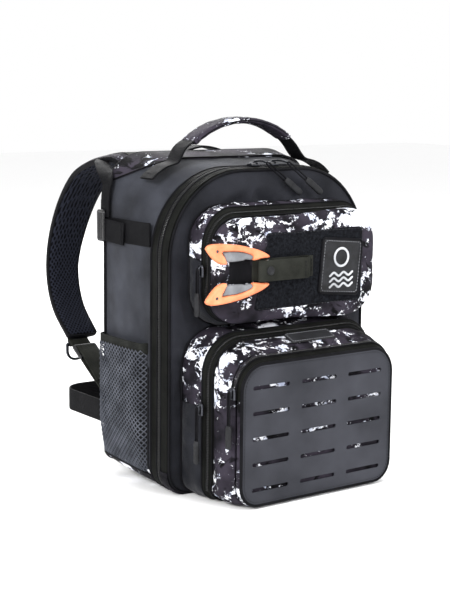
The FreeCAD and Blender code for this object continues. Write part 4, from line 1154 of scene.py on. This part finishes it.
def build_net(side, sign):
    """A knitted net of real threads with open diamonds between."""
    low, high = span(f"mesh_pocket_{side}")
    columns = 2 * int((high[1] - low[1] + 16 * MM) / NET_PITCH / 2) + 1
    rows = 2 * int((high[2] - low[2]) / NET_PITCH / 2) + 1
    path, reach = pocket_path(low, high, sign, columns)
    shell_low, shell_high = span("main_shell")
    slope = NET_FOOT_RISE * (path[:, 1] - shell_low[1]) / (shell_high[1] - shell_low[1])
    stand = (np.abs(path[:, 0]) - np.abs(path[:, 0]).min()) * 1.3
    points = np.zeros((rows, columns, 3))
    for i, share in enumerate(np.linspace(0, 1, rows)):
        foot = NET_FOOT + slope
        heights = foot + (high[2] + 4 * MM - foot) * share
        fullness = min(1, 0.22 + share / 0.4) ** 0.8
        out = side_reach(path[:, 1], heights) + 0.8 * MM + stand * fullness
        points[i] = np.column_stack((sign * out, path[:, 1], heights))
    faces = [(i * columns + j - 1, (i + 1) * columns + j, i * columns + j + 1, (i - 1) * columns + j)
             for i in range(1, rows - 1) for j in range(1, columns - 1) if (i + j) % 2]
    mesh = new_mesh("net", points.reshape(-1, 3).tolist(), faces)
    work = bmesh.new()
    work.from_mesh(mesh)
    bmesh.ops.delete(work, geom=[v for v in work.verts if not v.link_faces], context="VERTS")
    work.to_mesh(mesh)
    work.free()
    made = new_object(f"side_net_{side}", mesh)
    adopt(made, "pack", "mesh", [f"mesh_pocket_{side}"])
    wire = made.modifiers.new("threads", "WIREFRAME")
    wire.thickness = NET_THREAD
    wire.use_boundary = True
    settle(made)
    piece(f"net_foot_binding_{side}", tube(points[0], 1.6 * MM, (0, 1, 0)), "pack", "binding")


def build_hem(side, sign):
    """The elastic hem along the net's top."""
    low, high = span("pocket_hems")
    path, _ = pocket_path((high[0] - 8.4 * MM, low[1]), (high[0] + 0.4 * MM, high[1]), sign, 60)
    path[:, 2] = (low[2] + high[2]) / 2
    rings = sweep(path, (0, 0, 1), section(high[2] - low[2], 1.6 * MM, 6, 20))
    piece(f"pocket_hem_{side}", rings, "pack", "hem", ["pocket_hems"])
    line = path.copy()
    line[:, 2] = low[2] + 1.6 * MM
    line[:, 0] += sign * 0.7 * MM
    sewn = stitches(line, (sign * 0.3 * MM, 0, 0), (0, 0, 1), 2.6 * MM, 1.2 * MM, FINE_THREAD)
    piece(f"pocket_hem_stitching_{side}", sewn, "pack", "black_thread")


def build_side_strips(side, sign):
    """The printed strip under the side pocket, and a dark sheet on the shell behind the net that is painted
    shade inside the pocket.
    """
    front, rear = shell_loops()
    low, high = span("main_shell")
    for part, finish, slot, lift, left, right in (
            ("foot_patch", "camo_low", "patterned_cloth", 1.6 * MM,
             (LEFT_FOOT + 1, LEFT_FOOT + LOW + 2), (FOOT - 2, RIGHT_FOOT - 1)),
            # The second strip is a dark sheet laid on the shell behind the net: painted shade inside the
            # pocket, not a real lining.
            ("painted_shade_sheet", "dark", "body_cloth", 0.9 * MM,
             (LEFT_FOOT - 16, LEFT_FOOT + 2), (RIGHT_FOOT - 2, RIGHT_FOOT + 16))):
        first, last = left if sign < 0 else right
        strip = wall(front + outward(front) * lift, rear + outward(rear) * lift, low[1] + 1 * MM,
                     high[1] - 1 * MM, 1.0 * MM, bulge=1.0 * MM, columns=14, first=first, last=last)
        piece(f"side_{part}_{side}", strip, "pack", finish)


def frame_buckle(name, centre, width, length, thickness, axes, bars, replaces):
    """A moulded frame with cross bars. Axes are its across, along and outward directions."""
    across, along, out = (np.array(a, float) for a in axes)
    loop = outline(width / 2 - 1.6 * MM, -length / 2 + 1.6 * MM, length / 2 - 1.6 * MM, 1.6 * MM, 1.6 * MM)
    path = centre + loop[:, :1] * across + loop[:, 1:] * along
    blocks = [(sweep(path, out, section(thickness, 3.4 * MM, 3.5, 12), True), True)]
    for share in np.linspace(-0.5, 0.5, bars + 2)[1:-1]:
        middle = centre + along * share * length
        line = np.array([middle + across * width * u for u in (-0.46, -0.2, 0, 0.2, 0.46)])
        blocks.append((sweep(line, out, section(thickness * 0.8, 3.0 * MM, 2.6, 12)), False))
    piece(name, blocks, "pack", "plastic", replaces)


def build_compression(side, sign):
    """The compression strap round the pack's side, with its loose tail and buckle."""
    low, high = span(f"compression_strap_{side}")
    buckle_low, buckle_high = span("strap_buckles")
    x = min(abs(low[0]), abs(high[0])) + 0.9 * MM
    z, width = high[2] - (high[2] - low[2]) / 2 + 1.5 * MM, WEBBING_WIDTH
    rear = buckle_low[1] + 2 * MM
    route = [(x - 1 * MM, low[1] - 1.5 * MM, z), (x, low[1] + 12 * MM, z), (x + 0.8 * MM, 10 * MM, z),
             (x + 1.0 * MM, rear, z), (x + 2.2 * MM, rear + 8 * MM, z)]
    strap(f"compression_webbing_{side}", mirrored(route, sign), (0, 0, 1), width,
          replaces=[f"compression_strap_{side}"])
    x += 2.8 * MM
    tail = [(x + 1.0 * MM, rear + 4 * MM, z - 1 * MM), (x + 1.8 * MM, rear - 8 * MM, z - 1.2 * MM),
            (x + 1.2 * MM, rear - 22 * MM, z - 2 * MM), (x + 0.6 * MM, 12 * MM, z - 3 * MM)]
    strap(f"compression_tail_{side}", mirrored(tail, sign), (0, 0, 1), width - 1 * MM)
    centre = np.array((sign * (buckle_high[0] - 2.4 * MM), (buckle_low[1] + buckle_high[1]) / 2 - 1 * MM,
                       (buckle_low[2] + buckle_high[2]) / 2))
    frame_buckle(f"side_buckle_{side}", centre, buckle_high[2] - buckle_low[2] - 1 * MM, 14 * MM, 3.6 * MM,
                 ((0, 0, 1), (0, 1, 0), (sign, 0, 0)), 3, ["strap_buckles"])
    ends = [(x + 1.6 * MM, 17 * MM, z - 3 * MM + s * width * 0.42) for s in (-1, 0, 1)]
    sewn = stitches(smooth_path(mirrored(ends, sign)), (sign * 0.4 * MM, 0, 0), (0, 1, 0))
    piece(f"compression_stitching_{side}", sewn, "pack", "black_thread")


# The stay's last points, from the shell's corner onto the pad, in millimetres.
STAY_LEAD = ((130, 57, 327), (124, 73, 333.5), (115, 92, 339), (102, 108, 341))


def build_stay(side, sign):
    """The webbing that runs from the side buckle up the rear edge and back onto the shoulder pad."""
    low, high = span("stabiliser_straps")
    radius, centre = 51.6 * MM, (84.6 * MM, 302 * MM)
    middle_y = (low[1] + high[1]) / 2
    turn = np.radians(np.linspace(0, 20, 6))
    route = [(centre[0] + radius + 0.6 * MM, middle_y, low[2] - 9 * MM),
             (centre[0] + radius + 0.4 * MM, middle_y, low[2] + 8 * MM)]
    route += [(centre[0] + radius * math.cos(t), middle_y, centre[1] + radius * math.sin(t)) for t in turn]
    route += [(x * MM, y * MM, z * MM) for x, y, z in STAY_LEAD]
    path = smooth_path(mirrored(route, sign))
    twist = np.clip((path[:, 1:2] - middle_y) / (50 * MM), 0, 1)
    across = np.array((0, 1.0, 0)) * (1 - twist) + np.array((sign * 1.0, 0, 0)) * twist
    profile = webbing_section(high[1] - low[1] + 2 * MM, 1.7 * MM)
    piece(f"stay_webbing_{side}", sweep(path, across, profile), "pack", "strap",
          ["stabiliser_straps"])


# The middle of a shoulder pad, from the yoke down, as (y, z) in millimetres.
STRAP_ROUTE = ((61.6, 334), (80, 342), (100, 341.5), (135, 334), (170, 318), (202, 283), (224, 238),
               (228, 196), (214, 160), (182, 131))
# Where the pad's spine leaves it for the ladder lock, as (y, z) in millimetres.
SPINE_LEAD = ((179, 124.5), (170, 120), (158, 112.6))
RIB_PITCH = 17 * MM


def pad_width(share):
    """The pad's width along its length, as a share of its widest."""
    return np.interp(share, (0, 0.2, 0.42, 0.6, 0.72, 1), (1, 0.97, 0.83, 0.76, 0.68, 0.64))


def shares_along(path):
    """How far along its path each point lies, from 0 to 1."""
    travel = travelled(path)
    return travel / travel[-1]


def pad_rings(path, width, thickness, part):
    """A shoulder pad as a whole, or only its outer cover."""
    shape = section(width, thickness, 3.2, 44)
    across, normal = frames(path, (1, 0, 0))
    travel = travelled(path)
    ends = np.minimum(rounded(0.05, len(path)), rounded(0.05, len(path))[::-1])
    profiles = []
    for distance, end in zip(travel, ends):
        form = shape.copy()
        if part == "cover":
            upper = form[form[:, 1] >= -1e-9]
            upper = upper[np.argsort(upper[:, 0])]
            outer = upper + (0, 0.9 * MM)
            form = np.vstack((outer, upper[::-1] - (0, 0.3 * MM)))
        else:
            ribs = np.sin(2 * math.pi * (distance + form[:, 0] * 0.8) / RIB_PITCH)
            inside = np.clip(1 - np.abs(form[:, 0]) / (width / 2), 0, 1) ** 0.5
            form[:, 1] -= np.where(form[:, 1] < 0, (0.7 * MM + 1.1 * MM * ribs) * inside, 0)
        form[:, 0] *= (0.86 + 0.14 * end) * pad_width(distance / travel[-1])
        form[:, 1] *= 0.4 + 0.6 * end
        profiles.append(form)
    profile = np.array(profiles)
    return path[:, None] + profile[:, :, :1] * across[:, None] + profile[:, :, 1:] * normal[:, None]


def build_shoulder_strap(side, sign):
    """A shoulder pad with its printed cover, bound edge and webbing spine."""
    low, high = span(f"shoulder_strap_{side}")
    middle_x, width = (low[0] + high[0]) / 2, high[0] - low[0]
    path = smooth_path([(middle_x, y * MM, z * MM) for y, z in STRAP_ROUTE], 3 * MM)
    half = width / 2 - 2.6 * MM
    path[:, 0] += sign * (1 - pad_width(shares_along(path))) * half
    made = piece(f"strap_pad_{side}", pad_rings(path, width - 5 * MM, 10 * MM, "pad"), "pack",
                 "air", [f"shoulder_strap_{side}"])
    piece(f"strap_cover_{side}", pad_rings(path, width - 4 * MM, 10.5 * MM, "cover"), "pack",
          "camo_bare")
    across, normal = frames(path, (1, 0, 0))
    end = path[-1]
    onward = (end - path[-2]) / np.linalg.norm(end - path[-2])
    edge = across * (half * pad_width(shares_along(path)))[:, None]
    tip = [end + edge[-1] * math.cos(t) + onward * 2.5 * MM * math.sin(t)
           for t in np.linspace(math.pi, 0, 12)[1:-1]]
    border = np.vstack((path - edge, tip, (path + edge)[::-1]))
    rings = sweep(border, normal_along(border, path, normal), section(6.4 * MM, 2.8 * MM, 2.6, 12))
    piece(f"strap_binding_{side}", rings, "pack", "binding")
    webbing = path[4:] + normal[4:] * 6.6 * MM
    foot_low, foot_high = span(f"strap_webbing_{side}")
    foot_x = (foot_low[0] + foot_high[0]) / 2
    lead = [tuple(point) for point in webbing[:-2:3]] + [(foot_x, y * MM, z * MM) for y, z in SPINE_LEAD]
    strap(f"strap_spine_{side}", lead, (1, 0, 0), WEBBING_WIDTH, "webbing", step=3 * MM)
    build_ring_tab(side, end[1:])
    blocks = []
    for share in (0.2, 0.38, 0.56, 0.74):
        i = int(len(webbing) * share)
        line = [webbing[i] + np.array((u * 11 * MM, 0, 0)) + normal[i] * 0.9 * MM for u in (-1, 0, 1)]
        blocks += stitches(smooth_path(line), normal[i] * 0.4 * MM, (0, 1, 0), 2.8 * MM, 1 * MM)
    piece(f"strap_bartacks_{side}", blocks, "pack", "black_thread")


def build_ring_tab(side, pad_end):
    """The short webbing loop at the pad's foot that holds the D-ring's flat bar."""
    low, high = span(f"d_ring_{side}")
    x, y, bar = (low[0] + high[0]) / 2, (low[1] + high[1]) / 2, high[2] - 1.5 * MM
    route = [(x, pad_end[0] + 6 * MM, pad_end[1] + 5 * MM), (x, y + 4.6 * MM, bar + 6 * MM),
             (x, y + 3.4 * MM, bar), (x, y, bar - 3.2 * MM), (x, y - 3.4 * MM, bar),
             (x, pad_end[0] - 3 * MM, pad_end[1] - 3.6 * MM)]
    strap(f"ring_tab_{side}", route, (1, 0, 0), high[0] - low[0] - 9 * MM, thickness=1.4 * MM, step=1.2 * MM)


def normal_along(border, path, normal):
    """The path's normal nearest to each border point."""
    nearest = [int(np.argmin(((path - p) ** 2).sum(1))) for p in border]
    return normal[nearest]


# The lower webbing from the ladder lock down to the pack's foot, as (y, z) in millimetres.
WEBBING_ROUTE = ((178, 126), (150, 107), (120, 88), (84, 68), (59.6, 60))


def build_lower_webbing(side):
    """The webbing from the pack's foot through the ladder lock, and its loose tail."""
    low, high = span(f"strap_webbing_{side}")
    middle_x = (low[0] + high[0]) / 2
    route = [(middle_x, y * MM, z * MM) for y, z in WEBBING_ROUTE]
    strap(f"lower_webbing_{side}", route, (1, 0, 0), WEBBING_WIDTH, "webbing", [f"strap_webbing_{side}"],
          2.0 * MM)
    top, bottom = np.array(route[1]), np.array(route[2])
    along = (top - bottom) / np.linalg.norm(top - bottom)
    out = np.cross((1.0, 0, 0), along)
    out *= -1 if out[2] < 0 else 1
    centre = top + along * 11 * MM + out * 3.4 * MM
    frame_buckle(f"ladder_lock_{side}", centre, 31 * MM, 22 * MM, 4 * MM, ((1, 0, 0), along, out), 2,
                 ["strap_adjusters"])
    tail = [centre + along * a * MM + out * o * MM for a, o in ((9, 1), (-6, 2.4), (-26, 1.5), (-48, -0.6))]
    strap(f"lower_webbing_tail_{side}", tail, (1, 0, 0), 24 * MM, "webbing")


def build_belt(side, sign):
    """One half of the waist belt, round the pack's rear corner to the buckle."""
    low, high = span(f"waist_belt_{side}")
    z, radius = (low[2] + high[2]) / 2, 28 * MM
    inner, outer = sorted((abs(low[0]), abs(high[0])))
    start_x, end_y = outer - 1.2 * MM, high[1] - 1.2 * MM
    corner = (start_x - radius, end_y - radius)
    turn = np.radians(np.linspace(0, 90, 14))
    route = [(start_x, low[1] + 0.2 * MM, z), (start_x, (low[1] + corner[1]) / 2, z)]
    route += [(corner[0] + radius * math.cos(t), corner[1] + radius * math.sin(t), z) for t in turn]
    route += [(corner[0] - 20 * MM, end_y, z), (inner, end_y, z)]
    strap(f"belt_webbing_{side}", mirrored(route, sign), (0, 0, 1), high[2] - low[2],
          replaces=[f"waist_belt_{side}"], thickness=2.2 * MM)
    blocks = []
    for x in (inner + 9 * MM, inner + 15 * MM):
        line = mirrored([(x, end_y + 1.2 * MM, z + s * 11 * MM) for s in (-1, 0, 1)], sign)
        blocks += stitches(smooth_path(line), (0, 0.4 * MM, 0), (1, 0, 0), 2.6 * MM, 1 * MM)
    piece(f"belt_stitching_{side}", blocks, "pack", "black_thread")


# ---------------------------------------------------------------- back pads

# Each ring of a pad before it is blown up: its share of the outline, and of the thickness.
PUFF_STEPS = ((0.01, 0.1), (0.4, 0.1), (0.8, 0.1), (0.98, 0.12), (1.0, 0.3), (0.995, 0.5), (0.96, 0.72),
              (0.88, 0.8), (0.7, 0.82), (0.4, 0.82), (0.01, 0.82))
PUFF_FRAMES = 20
PUFF_PRESSURE = 4.0
PUFF_VOXEL = 5 * MM


def puff(name, node, x_middle, half, corner, cap):
    """A foam pad under air mesh, blown up like a cushion by at most the cap."""
    low, high = span(node)
    shrink = 2.5 * MM
    loop = outline(half - shrink, low[2] + shrink, high[2] - shrink, corner, corner, x_middle)
    middle = (loop.max(0) + loop.min(0)) / 2
    thick = high[1] - low[1]
    rings = [standing(middle + (loop - middle) * share, low[1] + thick * depth)
             for share, depth in PUFF_STEPS]
    made = piece(name, np.array(rings), "pack", "air", [node])
    blow_up(made, cap)


def blow_up(made, cap):
    """Cloth simulation with air pressure, with each point held within cap of where it started."""
    mesh = made.modifiers.new("remesh", "REMESH")
    mesh.mode = "VOXEL"
    mesh.voxel_size = PUFF_VOXEL
    settle(made)
    start = np.array([v.co for v in made.data.vertices])
    soft = made.modifiers.new("cloth", "CLOTH")
    soft.settings.use_pressure = True
    soft.settings.uniform_pressure_force = PUFF_PRESSURE
    soft.settings.effector_weights.gravity = 0
    soft.settings.quality = 5
    soft.point_cache.frame_start = 1
    soft.point_cache.frame_end = PUFF_FRAMES
    for step in range(1, PUFF_FRAMES + 1):
        bpy.context.scene.frame_set(step)
    blown = made.evaluated_get(bpy.context.evaluated_depsgraph_get())
    end = np.array([v.co for v in blown.to_mesh().vertices])
    blown.to_mesh_clear()
    made.modifiers.clear()
    bpy.context.scene.frame_set(1)
    move = end - start
    reach = np.linalg.norm(move, axis=1)[:, None]
    end = start + move * np.minimum(1, cap / np.maximum(reach, 1e-9))
    made.data.vertices.foreach_set("co", end.astype(np.float32).ravel())
    smooth = made.modifiers.new("smooth", "SUBSURF")
    smooth.levels = 1
    settle(made)


def build_back():
    """The two back pads with their sewn channels, and the lumbar pad."""
    low, high = span("back_pads")
    half, face = 44 * MM, high[1]
    channels = []
    for side, sign in (("left", -1), ("right", 1)):
        x = sign * (high[0] - half)
        puff(f"back_pad_{side}", "back_pads", x, half, 20 * MM, 3.0 * MM)
        for share in (0.25, 0.5, 0.75):
            z = low[2] + (high[2] - low[2]) * share
            line = smooth_path([(x - 36 * MM, face + 0.6 * MM, z - 4 * MM), (x, face + 1.6 * MM, z + 2 * MM),
                                (x + 36 * MM, face + 0.6 * MM, z - 4 * MM)])
            channels.append(sweep(line, (0, 0, 1), section(3.2 * MM, 1.6 * MM, 3, 10)))
    puff("lumbar_pad_cloth", "lumbar_pad", 0, span("lumbar_pad")[1][0], 18 * MM, 3.5 * MM)
    piece("back_pad_channels", channels, "pack", "binding")


# ---------------------------------------------------------------- handle and haul loop

def build_haul_loop():
    """The small webbing loop on top, behind the handle."""
    low, high = span("haul_loop")
    y, half, foot = (low[1] + high[1]) / 2, high[0], low[2]
    shoulder = foot + (high[2] - foot) * 0.62
    rising = [(half - 1 * MM, y - 6 * MM, foot - 6 * MM), (half - 2 * MM, y, foot + 2 * MM),
              (half * 0.74, y, shoulder)]
    route = mirrored(rising, -1) + [(0, y, high[2] - 1.2 * MM)] + rising[::-1]
    strap("haul_loop_webbing", route, (0, 1, 0), high[1] - low[1], replaces=["haul_loop"], thickness=2.6 * MM)


# Where each leg bends from its tab towards the wrap, as (x, z) in millimetres.
HANDLE_LEGS = {"left": ((86.5, 345), (82.5, 352), (77.5, 359), (70.5, 364)),
               "right": ((84, 345), (77.5, 351.5), (71, 359.5))}


def build_handle():
    """The carrying handle: webbing legs that bend above their sewn tabs, and a printed wrap."""
    low, high = span("handle_webbing")
    middle_y, centre_z, radius = (low[1] + high[1]) / 2, 280.1 * MM, 107.2 * MM
    corner_x, corner_z, corner_radius = 82.6 * MM, 291.6 * MM, 51.8 * MM
    for side, sign in (("left", -1), ("right", 1)):
        tab = [(corner_x + corner_radius * math.cos(math.radians(a)), middle_y,
                corner_z + corner_radius * math.sin(math.radians(a))) for a in (44, 54, 64, 73, 81)]
        bend = [(x * MM, middle_y, z * MM) for x, z in HANDLE_LEGS[side]]
        arch = arc_path((0, centre_z), radius, 90 - sign * 35, 90 - sign * 20, middle_y)
        path = smooth_path(mirrored(tab + bend, sign) + [tuple(point) for point in arch[::3]], 3 * MM)
        leg = sweep(path, (0, 1, 0), webbing_section(24 * MM, 2.4 * MM))
        made = new_object(f"handle_leg_{side}", skin([(leg, False)], "handle_leg"))
        made.data.materials.append(FINISH["strap"])
        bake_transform(made)
        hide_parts("handle_webbing", "handle_tabs")
    build_wrap(middle_y, centre_z, radius)


def build_wrap(middle_y, centre_z, radius):
    """The handle's printed wrap, gathered at its ends, with a seam along its front."""
    count = 60
    turns = np.radians(np.linspace(90 + 38, 90 - 35, count))
    circle = np.column_stack((np.cos(turns), np.sin(turns)))
    crest = standing(np.array((0, centre_z)) + circle * radius, middle_y)
    ends = np.minimum(rounded(0.12, count), rounded(0.12, count)[::-1])
    rings = sweep(crest, (0, 1, 0), section(29 * MM, 7 * MM, 3.2, 28), taper=0.92 + 0.08 * ends)
    gather = (0.5 + 0.9 * (1 - ends)) * MM
    rings += gather[:, None, None] * cloud(rings, 9 * MM, 6)[:, :, None] * (0, 0.6, 1)
    piece("handle_wrap", rings, "top_handle", "camo_bare", ["handle_grip"])
    seam = crest[3:-3] + np.array((0, -14.3 * MM, 0))
    piece("handle_wrap_seam", tube(seam, 0.7 * MM), "top_handle", "binding")


# ---------------------------------------------------------------- sliders and pulls

def build_slider(node, body, along, out):
    """A zip slider: a rounded wedge with a bridge over it."""
    low, high = span(node)
    centre = (low + high) / 2
    along, out = np.array(along, float), np.array(out, float)
    across = np.cross(along, out)
    length, width, height = (abs(np.dot(high - low, axis)) for axis in (along, across, out))
    spine = np.array([centre + along * length * u for u in np.linspace(-0.5, 0.5, 14)])
    shape = 0.55 + 0.45 * rounded(0.5, 14)[::-1]
    wedge = sweep(spine - out * height * 0.18, across, section(width, height * 0.62, 3.5, 18), taper=shape)
    bridge = smooth_path([centre + along * length * u + out * height * v for u, v in
                          ((-0.42, -0.1), (-0.36, 0.36), (0, 0.48), (0.3, 0.36), (0.36, -0.1))], 0.7 * MM)
    handle = sweep(bridge, across, section(width * 0.36, 1.1 * MM, 3, 10))
    piece(f"{node}_body", [wedge, handle], body, "gunmetal", [node])


def build_pull(node, body, top, direction, out, length, sleeve):
    """A doubled cord from the slider's bridge into a ribbed rubber sleeve."""
    top, direction, out = (np.array(v, float) for v in (top, direction, out))
    direction /= np.linalg.norm(direction)
    across = np.cross(direction, out)
    gap, joint, stations = 1.5 * MM, length - sleeve, 26
    strand = ((0.4, 0), (1, 3 * MM), (1.1, joint * 0.5), (1, joint + 2 * MM))
    right = [top - across * gap * s + direction * d for s, d in strand[::-1]]
    left = [top + across * gap * s + direction * d for s, d in strand]
    cord = tube(smooth_path(right + left, 1.2 * MM), 0.95 * MM, out, False, 8)
    piece(f"{node}_cord", cord, body, "binding", [node])
    spine = np.array([top + direction * d for d in np.linspace(joint, length, stations)])
    taper = 0.62 + 0.38 * np.minimum(rounded(0.25, stations), rounded(0.18, stations)[::-1])
    ribs = 1 + 0.05 * np.cos(np.linspace(0, 12 * math.pi, stations))
    rings = sweep(spine, across, section(7.4 * MM, 4.2 * MM, 2.8, 18), taper=taper * ribs)
    piece(f"{node}_sleeve", rings, body, "rubber", [node])


def build_sliders():
    """The five sliders and their pulls: both main pulls lie slanting to the right, the others hang down."""
    lean = math.radians(54)
    for side, sign in (("left", 1), ("right", -1)):
        body = f"main_zip_{side}"
        build_slider(f"main_slider_{side}", body, (sign, 0, 0), (0, 0, 1))
        low, high = span(f"main_pull_{side}")
        slider_low, slider_high = span(f"main_slider_{side}")
        x, y, z = (slider_low[0] + slider_high[0]) / 2, low[1] + 4 * MM, high[2] - 1.2 * MM
        build_pull(f"main_pull_{side}", f"{body}_pull", (x, y, z), (math.sin(lean), 0, -math.cos(lean)),
                   (0, -1, 0), 58 * MM, 27 * MM)
        link = smooth_path([(x, slider_low[1] + 3 * MM, z + 0.8 * MM),
                            (x, (slider_low[1] + y) / 2, z + 1.6 * MM), (x, y, z)], 1.5 * MM)
        piece(f"main_link_{side}", tube(link, 1.2 * MM, (1, 0, 0)), f"{body}_pull",
              "gunmetal")
    for name in ("upper", "rear", "front"):
        build_slider(f"{name}_slider", f"{name}_zip", (0, 0, 1), (-1, 0, 0))
        low, high = span(f"{name}_pull")
        top = ((low[0] + high[0]) / 2, (low[1] + high[1]) / 2, high[2] - 1 * MM)
        build_pull(f"{name}_pull", f"{name}_zip_pull", top, (0, 0, -1), (-1, 0, 0),
                   high[2] - low[2] - 1.5 * MM, 24 * MM)


# ---------------------------------------------------------------- CAD pieces that keep their shape

# Each rigid CAD piece and its finish.
KEPT = {"frame_sheet": "board", "base_board": "board", "plier_jaw_upper": "steel", "plier_jaw_lower": "steel",
        "pivot_pin": "steel", "d_ring_left": "gunmetal", "d_ring_right": "gunmetal",
        "belt_buckle_socket": "plastic", "belt_buckle_plug": "plastic"}


def dress_kept_nodes():
    """Gives the rigid CAD pieces a material and softer edges, where they stand."""
    for node, finish in KEPT.items():
        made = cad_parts[node]
        made.data.materials.clear()
        made.data.materials.append(FINISH[finish])
        weld = made.modifiers.new("weld", "WELD")
        weld.merge_threshold = 0.01 * MM
        bevel = made.modifiers.new("soften", "BEVEL")
        bevel.width = 0.5 * MM
        bevel.segments = 2
        bevel.limit_method = "ANGLE"
        bevel.angle_limit = math.radians(40)


build_pliers()
for side_name, side_sign in (("left", -1), ("right", 1)):
    build_net(side_name, side_sign)
    build_hem(side_name, side_sign)
    build_side_strips(side_name, side_sign)
    build_compression(side_name, side_sign)
    build_stay(side_name, side_sign)
    build_shoulder_strap(side_name, side_sign)
    build_lower_webbing(side_name)
    build_belt(side_name, side_sign)
build_back()
build_haul_loop()
build_handle()
build_sliders()
dress_kept_nodes()


# ---------------------------------------------------------------- camera, floor and light

def aim(azimuth, elevation):
    """The directions back to a viewer, to the viewer's right and up."""
    back = Vector((math.sin(azimuth) * math.cos(elevation), -math.cos(azimuth) * math.cos(elevation),
                   math.sin(elevation)))
    right = Vector((math.cos(azimuth), math.sin(azimuth), 0))
    return back, right, back.cross(right)


def add_camera():
    back, right, up = aim(CAMERA_AZIMUTH, CAMERA_ELEVATION)
    lens = bpy.data.cameras.new("view")
    lens.lens = CAMERA_LENS
    lens.sensor_width = 36
    camera = new_object("view", lens)
    place = CAMERA_TARGET + back * CAMERA_DISTANCE + right * CAMERA_SLIDE.x + up * CAMERA_SLIDE.y
    rolled_right = right * math.cos(CAMERA_ROLL) + up * math.sin(CAMERA_ROLL)
    rolled_up = up * math.cos(CAMERA_ROLL) - right * math.sin(CAMERA_ROLL)
    turn = Matrix((rolled_right, rolled_up, back)).transposed()
    camera.matrix_world = Matrix.Translation(place) @ turn.to_4x4()
    bpy.context.scene.camera = camera


def add_floor():
    """A large sheet of pale paper under the pack."""
    half, blotch = 6.0, 3.0
    corners = [(-half, -half, 0), (half, -half, 0), (half, half, 0), (-half, half, 0)]
    mesh = new_mesh("floor", corners, [(0, 1, 2, 3)])
    floor = new_object("floor", mesh)
    paper = Finish("pale_floor", 0.9, mirror=HARD)
    paper.paint(paper.mix(paper.noise(blotch), (0.93, 0.93, 0.93, 1), (0.96, 0.96, 0.96, 1)))
    mesh.materials.append(paper.material)


def add_light(name, azimuth, elevation, distance, size, power):
    """A soft square lamp that looks at the middle of the pack."""
    back, right, up = aim(math.radians(azimuth), math.radians(elevation))
    lamp = bpy.data.lights.new(name, "AREA")
    lamp.size = size
    lamp.energy = power
    turn = Matrix((right, up, back)).transposed()
    new_object(name, lamp).matrix_world = Matrix.Translation(CAMERA_TARGET + back * distance) @ turn.to_4x4()


# The azimuth, elevation, distance, size and power of each lamp.
LAMPS = {"key": (-66, 26, 2.2, 0.8, 42), "front": (12, 24, 2.4, 1.0, 32),
         "top": (40, 76, 2.0, 0.7, 14), "back": (160, 30, 2.4, 1.4, 40)}


def add_studio():
    """A white surround and four soft lamps; the plain transform keeps the surround white."""
    world = bpy.data.worlds.new("studio")
    world.use_nodes = True
    world.node_tree.nodes["Background"].inputs["Color"].default_value = (1, 1, 1, 1)
    world.node_tree.nodes["Background"].inputs["Strength"].default_value = 1.0
    bpy.context.scene.world = world
    bpy.context.scene.view_settings.view_transform = "Standard"
    for name, place in LAMPS.items():
        add_light(name, *place)


add_camera()
add_floor()
add_studio()
